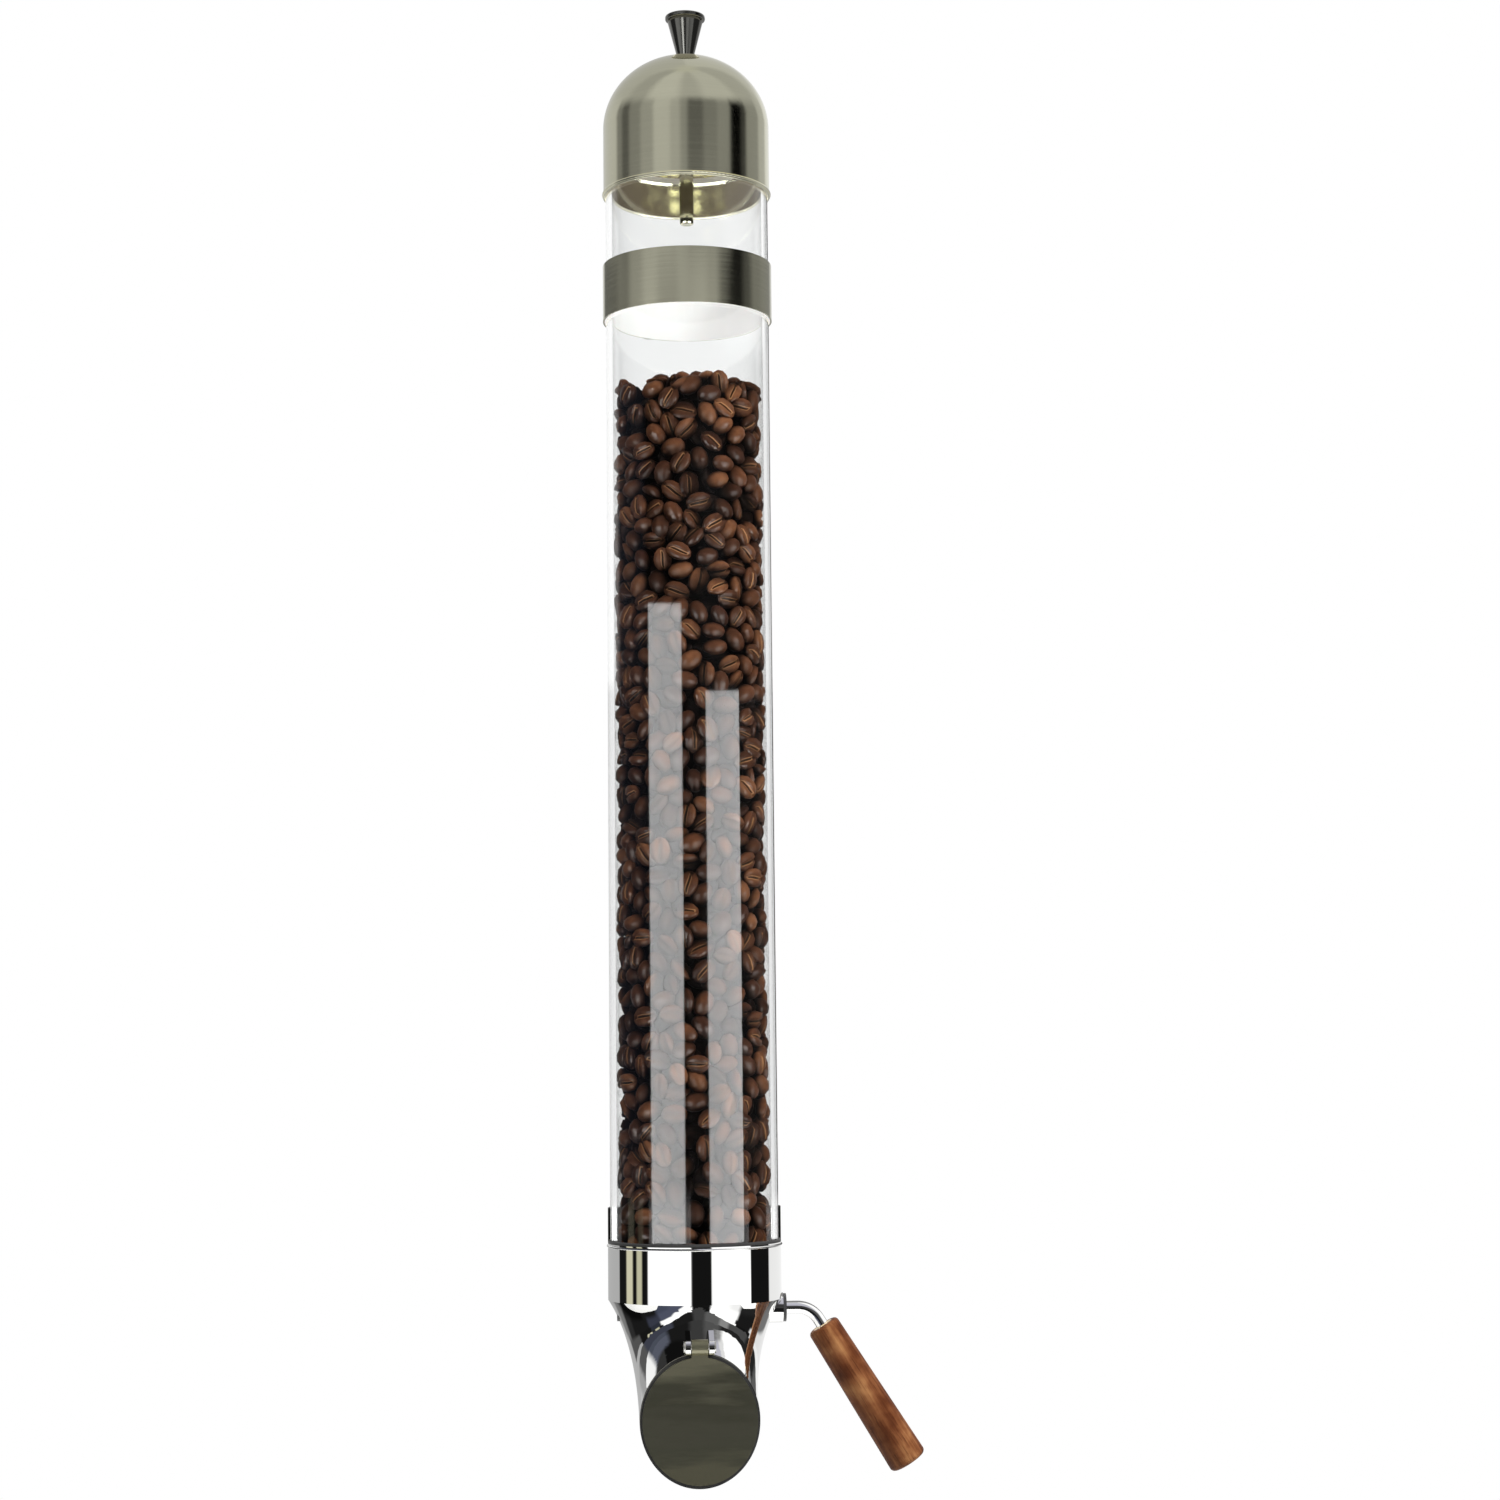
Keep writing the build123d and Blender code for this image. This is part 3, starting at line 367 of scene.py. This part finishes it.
finishes = {
    "polished_metal": polishedMetal(),
    "brushed_metal": brushedNickel(),
    "flap_metal": flapMetal(),
    "knob_metal": plainFinish("knobMetal", (0.13, 0.13, 0.12), 0.12, 1.0, 400.0, 0.08, 0.0),
    "plain_steel": plainFinish("machinedSteel", (0.56, 0.56, 0.55), 0.32, 1.0, 500.0),
    "plate_steel": plainFinish("coatedPlate", (0.62, 0.62, 0.61), 0.45, 0.0, 1200.0, 0.06, 0.00003),
    "clear_glass": clearGlass(),
    "clear_silicone": silicone(),
    "black_rubber": plainFinish("blackRubber", (0.022, 0.022, 0.022), 0.55),
    "bush_plastic": plainFinish("blackNylon", (0.03, 0.03, 0.032), 0.42),
    "bean_brown": beanSkin(),
    "grip_wood": gripWood(),
    "brass": plainFinish("plainBrass", (0.70, 0.50, 0.24), 0.28, 1.0, 400.0),
}
for entry in frame["record"]["subparts"]:
    mesh = nodes[entry["node"]].data
    mesh.materials.clear()
    mesh.materials.append(finishes[entry["material_slot"]])
print("finishes made")


# Coffee beans: one bean shaped step by step, then layers of copies against the glass, behind it, on top and below
bean = {
    "length": 0.0106,
    "width": 0.0079,
    "thickness": 0.0058,
    "swell": 1.2,  # of the round side
    "flatten": 0.62,  # of the flat side
    "lipShare": 0.62,  # of the half width that the two lips take
    "lipReach": 0.0042,
    "lipPinch": 0.46,
    "edgeDrop": 0.0006,
    "creaseReach": 0.0049,
    "creaseDepth": 0.0016,
    "reach": 0.03125,  # the glass stops them here
    "wallSpacing": 0.0067,
    "wallSlack": 0.0016,  # how far back some of them lie
    "wallTilt": 0.42,
    "innerReach": 0.0278,
    "innerSpacing": 0.0074,
    "innerSlack": 0.001,
    "innerTilt": 0.7,
    "low": -0.0015,
    "top": 0.3572,
    "topLift": 0.0004,
    "topSpacing": 0.0074,
    "crown": 0.0048,
    "bumpy": 0.0011,
    "underDrop": 0.0035,
    "underSpacing": 0.0066,
    "heapRadius": 0.0262,
    "heapTilt": 0.45,
    "coreRadius": 0.0212,
    "coreRows": 45,
    "coreRough": 0.0011,
    "paintedShadeBy": 0.0050,  # painted shade: as far behind the face as this, all is painted dark
    "flatOut": 0.56,  # share that shows its crease
    "grow": (0.90, 1.07),  # how far one bean differs from the next
    "broaden": (0.94, 1.06),
    "thicken": (0.90, 1.05),
    "neighbour": 0.0108,  # beans nearer than this press on each other
    "headings": 10,
    "seed": 11,
}


def clearChoice():
    bpy.ops.object.select_all(action="DESELECT")


def chooseVerts(item, test):
    mesh = bmesh.from_edit_mesh(item.data)
    for vert in mesh.verts:
        vert.select_set(bool(test(vert.co)))
    mesh.select_flush_mode()
    bmesh.update_edit_mesh(item.data)


def modelBean():
    clearChoice()
    bpy.ops.mesh.primitive_uv_sphere_add(segments=10, ring_count=6, radius=0.5, location=(0, 0, 0))
    item = bpy.context.object
    item.name = "beanPattern"
    middle = (0, 0, 0)
    bpy.ops.object.mode_set(mode="EDIT")
    bpy.ops.mesh.select_all(action="SELECT")
    bpy.ops.transform.rotate(value=math.pi / 10, orient_axis="Z", center_override=middle)
    bpy.ops.transform.rotate(value=math.pi / 2, orient_axis="Y", center_override=middle)
    size = (bean["length"], bean["width"], bean["thickness"] * bean["swell"])
    bpy.ops.transform.resize(value=size, center_override=middle)
    tiny = 0.0001
    lips = bean["width"] / 2 * bean["lipShare"]

    def inCrease(p):
        return abs(p.y) < tiny and abs(p.x) < bean["creaseReach"]

    # the flat side, its two lips and the crease between them
    chooseVerts(item, lambda p: p.z < -tiny)
    bpy.ops.transform.resize(value=(1, 1, bean["flatten"]), center_override=middle)
    chooseVerts(item, lambda p: p.z < -tiny and abs(p.y) > lips)
    bpy.ops.transform.translate(value=(0, 0, -bean["edgeDrop"]))
    chooseVerts(item, lambda p: p.z < -tiny and tiny < abs(p.y) < lips and abs(p.x) < bean["lipReach"])
    bpy.ops.transform.resize(value=(1, bean["lipPinch"], 1), center_override=middle)
    chooseVerts(item, lambda p: p.z < -tiny and inCrease(p))
    bpy.ops.transform.translate(value=(0, 0, bean["creaseDepth"]))
    bpy.ops.object.mode_set(mode="OBJECT")
    bpy.ops.object.shade_smooth()
    # the crease points, for the painted shade in the crease and the painted highlight on its lips
    crease = item.data.attributes.new("beanCrease", "FLOAT", "POINT")
    item.data.attributes.new("beanTone", "FLOAT", "POINT")
    item.data.attributes.new("beanDepth", "FLOAT", "POINT")
    for vert, mark in zip(item.data.vertices, crease.data):
        mark.value = 1.0 if vert.co.z < 0 and inCrease(vert.co) else 0.0
    return item


def scatter(width, height, gap, dice, wrap=True):
    # points no closer than the gap on a sheet that wraps round, found through a grid of cells
    cell = gap / math.sqrt(2)
    columns = max(1, int(width / cell))
    cells, points = {}, []
    for _ in range(int(30 * width * height / (gap * gap))):
        x, y = dice.random() * width, dice.random() * height
        column, row = int(x / width * columns), int(y / cell)
        near = False
        for i in range(column - 3, column + 4):
            for j in range(row - 2, row + 3):
                other = cells.get((i % columns if wrap else i, j))
                if other:
                    dx = abs(other[0] - x)
                    dx = min(dx, width - dx) if wrap else dx
                    if dx * dx + (other[1] - y) ** 2 < gap * gap:
                        near = True
        if not near:
            cells[(column, row)] = (x, y)
            points.append([x, y])
    return points


def turnApart(points, width, dice):
    # each bean picks the heading at which it presses least on those around it
    long, short = bean["length"] / 2, bean["width"] / 2
    headings = [dice.random() * math.pi for _ in points]
    around = []
    for x, y in points:
        near = []
        for k, (u, v) in enumerate(points):
            dx, dy = u - x, v - y
            if abs(dy) < bean["neighbour"]:
                dx = (dx + width / 2) % width - width / 2
                gap = math.hypot(dx, dy)
                if 0 < gap < bean["neighbour"]:
                    near.append((k, gap, math.atan2(dy, dx)))
        around.append(near)

    def reach(heading, way):
        c, s = math.cos(way - heading), math.sin(way - heading)
        return long * short / math.hypot(short * c, long * s)

    for _ in range(3):
        for k, near in enumerate(around):
            best = None
            for turn in range(bean["headings"]):
                heading = (turn + dice.random()) * math.pi / bean["headings"]
                press = sum(
                    max(0.0, reach(heading, way) + reach(headings[other], way) - gap) ** 2
                    for other, gap, way in near
                )
                if best is None or press < best[0]:
                    best = (press, heading)
            headings[k] = best[1]
    return headings


def copyBean(pattern, placement, tone, found):
    mesh = pattern.data.copy()
    mesh.transform(placement)
    # how far each point lies behind the face of the heap, for the painted shade between the beans
    for vert, mark in zip(mesh.vertices, mesh.attributes["beanDepth"].data):
        behind = bean["reach"] - math.hypot(vert.co.x, vert.co.y - axisY)
        above = bean["top"] + bean["crown"] - vert.co.z
        mark.value = min(1.0, max(0.0, min(behind, above) / bean["paintedShadeBy"]))
    for mark in mesh.attributes["beanTone"].data:
        mark.value = tone
    item = bpy.data.objects.new("bean", mesh)
    bpy.context.scene.collection.objects.link(item)
    found.append(item)


def ownTurn(dice, tilt):
    flip = math.pi if dice.random() < bean["flatOut"] else 0.0
    lean = dice.gauss(0, tilt)
    nod = dice.gauss(0, tilt * 0.45)
    grow = dice.uniform(*bean["grow"])
    broad = grow * dice.uniform(*bean["broaden"])
    thick = grow * dice.uniform(*bean["thicken"])
    return (
        Matrix.Rotation(flip + lean, 4, "X")
        @ Matrix.Rotation(nod, 4, "Y")
        @ Matrix.Diagonal((grow, broad, thick, 1.0))
    )


def layWall(pattern, reach, gap, slack, tilt, dice, found):
    radius = reach - bean["thickness"] / 2
    width, height = math.tau * radius, bean["top"] - bean["low"]
    points = scatter(width, height, gap, dice)
    headings = turnApart(points, width, dice)
    spots = [vert.co.copy() for vert in pattern.data.vertices]
    for (across, up), heading in zip(points, headings):
        angle = across / radius
        outward = Vector((math.sin(angle), -math.cos(angle), 0))
        along = Vector((math.cos(angle), math.sin(angle), 0))
        frameTurn = Matrix((along, Vector((0, 0, 1)), outward)).transposed().to_4x4()
        turned = frameTurn @ Matrix.Rotation(heading, 4, "Z") @ ownTurn(dice, tilt)
        shaped = [turned @ spot for spot in spots]
        out = radius
        for _ in range(3):
            far = max(math.hypot(p.x + outward.x * out, p.y + outward.y * out) for p in shaped)
            out -= far - reach
        out -= slack * dice.random() ** 2
        place = Vector((outward.x * out, axisY + outward.y * out, bean["low"] + up))
        copyBean(pattern, Matrix.Translation(place) @ turned, dice.random(), found)


def layHeap(pattern, level, gap, rise, facing, dice, found):
    radius = bean["heapRadius"]
    for across, up in scatter(2 * radius, 2 * radius, gap, dice, wrap=False):
        x, y = across - radius, up - radius
        out = math.hypot(x, y)
        if out > radius:
            continue
        height = level + rise * (1 - (out / radius) ** 2) + dice.uniform(-1, 1) * bean["bumpy"]
        turned = Matrix.Rotation(facing, 4, "X") @ Matrix.Rotation(dice.random() * math.tau, 4, "Z")
        place = Matrix.Translation((x, axisY + y, height)) @ turned @ ownTurn(dice, bean["heapTilt"])
        copyBean(pattern, place, dice.random(), found)


def joinBeans(found, name, material):
    clearChoice()
    for item in found:
        item.select_set(True)
    bpy.context.view_layer.objects.active = found[0]
    bpy.ops.object.join()
    joined = bpy.context.object
    joined.name = name
    joined.data.name = name
    joined.data.materials.clear()
    joined.data.materials.append(material)
    return joined


def modelBeans():
    dice = random.Random(bean["seed"])
    pattern = modelBean()
    wall, inside = [], []
    outer = (bean["reach"], bean["wallSpacing"], bean["wallSlack"], bean["wallTilt"])
    inner = (bean["innerReach"], bean["innerSpacing"], bean["innerSlack"], bean["innerTilt"])
    top = (bean["top"] + bean["topLift"], bean["topSpacing"], bean["crown"], 0.0)
    under = (bean["low"] - bean["underDrop"], bean["underSpacing"], 0.0, math.pi)
    layWall(pattern, *outer, dice, wall)
    layWall(pattern, *inner, dice, inside)
    layHeap(pattern, *top, dice, inside)
    layHeap(pattern, *under, dice, inside)
    wallBeans = joinBeans(wall, "wallBeans", finishes["bean_brown"])
    innerBeans = joinBeans(inside, "innerBeans", finishes["bean_brown"])
    bpy.data.objects.remove(pattern)
    print("beans laid:", len(wall), "at the glass,", len(inside), "behind")
    return wallBeans, innerBeans


def modelBeanShadeCore():
    # painted shade: a dark core fills the middle of the column where beans would lie in shade, rough like the
    # beans that hide it
    clearChoice()
    low, high = bean["low"], bean["top"] - 0.002
    bpy.ops.mesh.primitive_cylinder_add(
        vertices=24, radius=bean["coreRadius"], depth=high - low,
        end_fill_type="TRIFAN", location=(0, axisY, (low + high) / 2),
    )
    core = bpy.context.object
    core.name = "beanShadeCore"
    bpy.ops.object.transform_apply(location=True, rotation=True, scale=True)
    bpy.ops.object.mode_set(mode="EDIT")
    bpy.ops.mesh.select_all(action="SELECT")
    bpy.ops.mesh.subdivide(number_cuts=1)
    rows = bean["coreRows"]
    for step in range(1, rows):
        bpy.ops.mesh.select_all(action="SELECT")
        bpy.ops.mesh.bisect(plane_co=(0, axisY, low + (high - low) * step / rows), plane_no=(0, 0, 1))
    bpy.ops.mesh.select_all(action="SELECT")
    bpy.ops.transform.vertex_random(offset=bean["coreRough"], seed=4)
    bpy.ops.object.mode_set(mode="OBJECT")
    shade = core.data.attributes.new("beanDepth", "FLOAT", "POINT")
    for mark in shade.data:
        mark.value = 1.0
    core.data.materials.append(finishes["bean_brown"])
    return core


wallBeans, innerBeans = modelBeans()
beanShadeCore = modelBeanShadeCore()
for piece in (wallBeans, innerBeans, beanShadeCore):
    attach(piece, "frame")
    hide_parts("bean_fill")
print("beans in place")


# Two thin rings that the photograph shows: the lid's rolled rim, and a dark rubber lip where the glass enters the
# collar, on the front half only, which is also painted shadow for the gap there
trim = {
    "rimOut": 0.00062,  # from the glass to the middle of the rim's bead
    "rimThick": 0.00050,
    "lipOut": 0.00010,
    "lipThick": 0.00085,
    "lipHeight": 0.009425,  # on the low front edge of the collar
}


def modelRing(name, height, out, thick, slot):
    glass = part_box("glass_tube")
    clearChoice()
    bpy.ops.mesh.primitive_torus_add(
        major_segments=96, minor_segments=12, major_radius=(glass[1].x - glass[0].x) / 2 + out,
        minor_radius=thick, location=(0, axisY, height),
    )
    item = bpy.context.object
    item.name = name
    bpy.ops.object.transform_apply(location=True, rotation=True, scale=True)
    bpy.ops.object.shade_smooth()
    item.data.materials.append(finishes[slot])
    return item


# its inner side takes the brushed metal's painted glow, a painted highlight along the rim
lidRim = modelRing("lidRim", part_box("lid_dome")[0].z, trim["rimOut"], trim["rimThick"], "brushed_metal")
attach(lidRim, "lid")
# painted shadow: a black rubber lip kept to the front half, dark where the gap at the glass's foot is in shade
glassShadowLip = modelRing("glassShadowLip", trim["lipHeight"], trim["lipOut"], trim["lipThick"], "black_rubber")
bpy.ops.object.mode_set(mode="EDIT")
bpy.ops.mesh.select_all(action="SELECT")
bpy.ops.mesh.bisect(plane_co=(0, axisY - 0.001, 0), plane_no=(0, 1, 0), clear_outer=True, use_fill=True)
bpy.ops.object.mode_set(mode="OBJECT")
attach(glassShadowLip, "frame")
print("rings in place")


# Light: glass, polished metal and brushed metal each mirror their own surroundings, what is dull sees a plain sky
studio = {
    "even": 0.20,  # what is dull sees
    "evenLean": 0.20,  # how much more of it comes from the upper right
    "between": (2.0, 1.9, 1.6),  # what metal sees after a second bounce
    "zenith": (0.66, 0.66, 0.62),
    "zenithFrom": (75.0, 88.0),
    "brightest": 9.0,
    "leftBoxTop": 8.5,
    "rightBoxTop": 6.8,
    "overBoxes": (0.012, 0.012, 0.012),
    "boxesEnd": (130, 135),  # degrees to either side
    # round the glass, as (angle from behind round the left, level)
    "glass": [(-180, 1.0), (-140, 0.02), (-63.2, 9.0), (-12.6, 0.004), (22.5, 9.0), (75.2, 0.01), (140, 1.0)],
    # round the metals: the elevation a ring starts at, how softly, the softness of its steps, then its stops
    "polished": [
        (-90.0, 1.0, 6.0, [(-180, 0.10), (-125, 0.12), (-60, 0.03), (10, 0.02), (60, 0.50), (110, 0.30)]),
        (-50.0, 5.0, 4.0, [(-180, 0.40), (-158, 0.16), (-146, 0.004), (-100, 0.012), (-68, (0.07, 0.08, 0.12)),
                           (-14, 0.012), (30, 1.1), (76, 0.02), (118, 0.12), (150, 0.50)]),
        (-25.0, 4.0, 2.5, [(-180, 0.45), (-156, 0.22), (-143, 0.03), (-128, 0.012), (-92, (0.045, 0.05, 0.075)),
                           (-66, (0.09, 0.10, 0.15)), (-10, 0.012), (14, 1.3), (78, 0.012),
                           (118, 0.20), (155, 0.80)]),
        (-12.0, 1.5, 1.5, [(-180, 0.50), (-150, 0.10), (-119, 0.010), (-90, (0.03, 0.035, 0.05)), (-68, 1.3),
                          (-6, 0.010), (22, 1.4), (76, 0.012), (112, 0.9)]),
        (-5.9, 0.3, 0.6, [(-180, 0.50), (-119, 0.010), (-102.5, (0.72, 0.69, 0.50)), (-90.3, 0.008),
                          (-83, (0.62, 0.60, 0.42)), (-74.3, 0.008), (-64.5, 1.5), (-4.7, 0.008), (22.3, 1.5),
                          (79.4, 0.008), (116.4, 1.0)]),
        (-3.0, 0.3, 3.0, [(-180, 0.60), (-158, 0.40), (-144, 0.11), (-118, (0.055, 0.06, 0.085)),
                          (-48, 0.014), (-6, 0.06), (16, 0.13), (46, 0.30), (66, 0.08), (112, 0.02), (152, 0.12)]),
        (6.9, 0.2, 5.0, [(-180, 1.1), (-118, (0.08, 0.09, 0.12)), (-65, 0.012), (-15, 0.05), (15, 0.10),
                         (50, 0.02), (130, 0.30)]),
        (13.4, 0.4, 5.0, [(-180, 1.1), (-118, (0.11, 0.12, 0.16)), (-65, 0.012), (-15, 0.05), (15, 0.10),
                          (40, 0.35), (55, 1.3), (140, 0.10)]),
        (28.0, 4.0, 2.0, [(-180, 0.05), (-125, 0.04), (-85, 0.006), (6, (0.60, 0.60, 0.68)), (45, 0.9),
                          (60, 1.3), (130, 0.30)]),
    ],
    "brushed": [
        (-90.0, 1.0, 4.0, [(-180, 0.60), (-110, 0.16), (110, 0.60)]),
        (-14.0, 0.6, 3.0, [(-180, 0.35), (-140, 0.10), (-60, 0.10), (-26, 6.0), (-12, 0.06), (8, 1.2),
                           (26, 0.12), (110, 0.30)]),
        (-8.5, 0.6, 3.0, [(-180, 0.90), (-112, 0.10), (-70, 1.0), (-35, 0.30), (20, 0.80), (60, 0.10),
                          (112, 0.60)]),
        (12.9, 0.4, 5.0, [(-180, 0.80), (-156, 0.16), (-110, 0.25), (-85, 0.42), (-62, 0.55), (-42, 0.42),
                          (-12, 0.52), (8, 0.56), (26, 0.44), (44, 0.13), (56, 0.015), (82, 0.10), (98, 0.26),
                          (120, 0.30), (156, 0.80)]),
        (15.7, 0.4, 2.5, [(-180, 0.68), (-112, 0.28), (-100, 0.13), (-86, 0.30), (-66, 0.44), (-46, 0.66),
                          (-22, 0.54), (-8, 0.36), (2, 0.15), (24, 0.26), (44, 0.34), (64, 0.0), (82, 0.06),
                          (92, 0.36), (120, 0.60), (142, 0.95)]),
        (30.0, 8.0, 8.0, [(-180, 0.60), (-100, 0.50), (-60, 0.72), (-10, 0.56), (25, 0.68), (80, 0.55),
                          (130, 0.70)]),
    ],
}


def addWorld():
    world = bpy.data.worlds.new("studio")
    world.cycles.sampling_method = "NONE"
    bpy.context.scene.world = world
    g = Graph(world)
    way = g.add("ShaderNodeTexCoord", out="Generated")
    x, y, z = (g.add("ShaderNodeSeparateXYZ", {}, {0: way}, out=axis) for axis in "XYZ")
    turn = x.maths("ARCTAN2", y * -1.0) * (180 / math.pi) - camera["side"]
    share = (turn + 180.0) / 360.0
    rise = z.maths("ARCSINE") * (180 / math.pi)
    top = studio["brightest"]

    def ring(stops, blur):
        # a ramp holds levels up to 1, so they are divided by the brightest and multiplied back
        edges = []
        for angle, level in stops:
            shade = tuple(part / top for part in (level if isinstance(level, tuple) else (level,) * 3))
            if edges:
                edges.append(((angle - blur + 180) / 360, edges[-1][1]))
            edges.append(((angle + (blur if edges else 0) + 180) / 360, shade))
        return g.mix(1.0, g.ramp(share, edges), (top, top, top), "MULTIPLY")

    def stack(rings):
        seen = None
        for start, soft, blur, stops in rings:
            level = ring(stops, blur)
            seen = level if seen is None else g.mix(rise.above(start - soft, start + soft), seen, level)
        return seen

    def past(height):
        return rise.above(height - 0.05, height + 0.05)

    def isRay(kind):
        return g.add("ShaderNodeLightPath", out=kind)

    brushed = g.mix(rise.above(*studio["zenithFrom"]), stack(studio["brushed"]), studio["zenith"])
    brushed = g.mix(isRay("Glossy Depth").above(1.4, 1.6), brushed, studio["between"])
    # only a perfect mirror gives singular rays
    metal = g.mix(isRay("Is Singular Ray"), brushed, stack(studio["polished"]))
    # the two soft boxes show in the glass's inner face, each up to its own height, and not from behind
    left = past(studio["leftBoxTop"]) * (1.0 - turn.above(0, 1))
    right = past(studio["rightBoxTop"]) * turn.above(0, 1)
    facing = 1.0 - turn.maths("ABSOLUTE").above(*studio["boxesEnd"])
    boxes = g.mix((left + right) * facing, ring(studio["glass"], 0.6), studio["overBoxes"])
    mirrored = g.mix(isRay("Transmission Depth").maths("MINIMUM", 1.0), metal, boxes)
    direct = isRay("Is Camera Ray").maths("MAXIMUM", isRay("Is Transmission Ray"))
    dull = isRay("Diffuse Depth").maths("MINIMUM", 1.0)
    bounced = isRay("Glossy Depth").maths("MINIMUM", 1.0)
    shine = isRay("Is Glossy Ray").maths("MAXIMUM", bounced) * (1.0 - dull)
    lean = x * 0.5 - y * 0.3 + z * 0.7  # to the upper right
    sky = g.mix(lean * studio["evenLean"] + studio["even"], (0.0, 0.0, 0.0), (1.0, 1.0, 1.0))
    shown = g.mix(shine, sky, mirrored)
    shown = g.mix(direct * (1.0 - dull) * (1.0 - bounced), shown, (1.0, 1.0, 1.0))
    g.finish(g.add("ShaderNodeBackground", {}, {"Color": shown, "Strength": 1.0}), "ShaderNodeOutputWorld")


addWorld()


def addLamp(name, turn, rise, distance, size, power):
    data = bpy.data.lights.new(name, "AREA")
    data.shape = "RECTANGLE"
    data.size, data.size_y = size
    data.energy = power
    item = bpy.data.objects.new(name, data)
    bpy.context.scene.collection.objects.link(item)
    side, up = math.radians(turn + camera["side"]), math.radians(rise)
    way = Vector((math.sin(side) * math.cos(up), -math.cos(side) * math.cos(up), math.sin(up)))
    middle = Vector((0, axisY, 0.2))
    item.location = middle + way * distance
    item.rotation_euler = (-way).to_track_quat("-Z", "Y").to_euler()
    item.visible_glossy = False
    item.visible_transmission = False


# each lamp: degrees from the camera's side, degrees up, metres away, its size and its power
lamps = {
    "fillLight": (-40, 50, 1.6, (0.7, 1.0), 20.0),
    "keyLight": (52, 36, 1.6, (0.7, 1.0), 55.0),
    "backLight": (175, 40, 1.8, (0.8, 0.8), 14.0),
}
for lampName, values in lamps.items():
    addLamp(lampName, *values)

ground = {"radius": 0.9, "height": -0.62}


def addFloor():
    clearChoice()
    bpy.ops.mesh.primitive_circle_add(
        vertices=96, radius=ground["radius"], fill_type="NGON", location=(0, axisY, ground["height"]),
    )
    floor = bpy.context.object
    floor.name = "floor"
    material, g = newMaterial("floorPaint")
    cloud = g.noise(g.place(), 3.0, 2.0)
    g.finish(g.surface(colour=g.mix(cloud, (0.90, 0.90, 0.89), (0.94, 0.94, 0.93)), rough=0.8))
    floor.data.materials.append(material)


addFloor()
print("stage set")
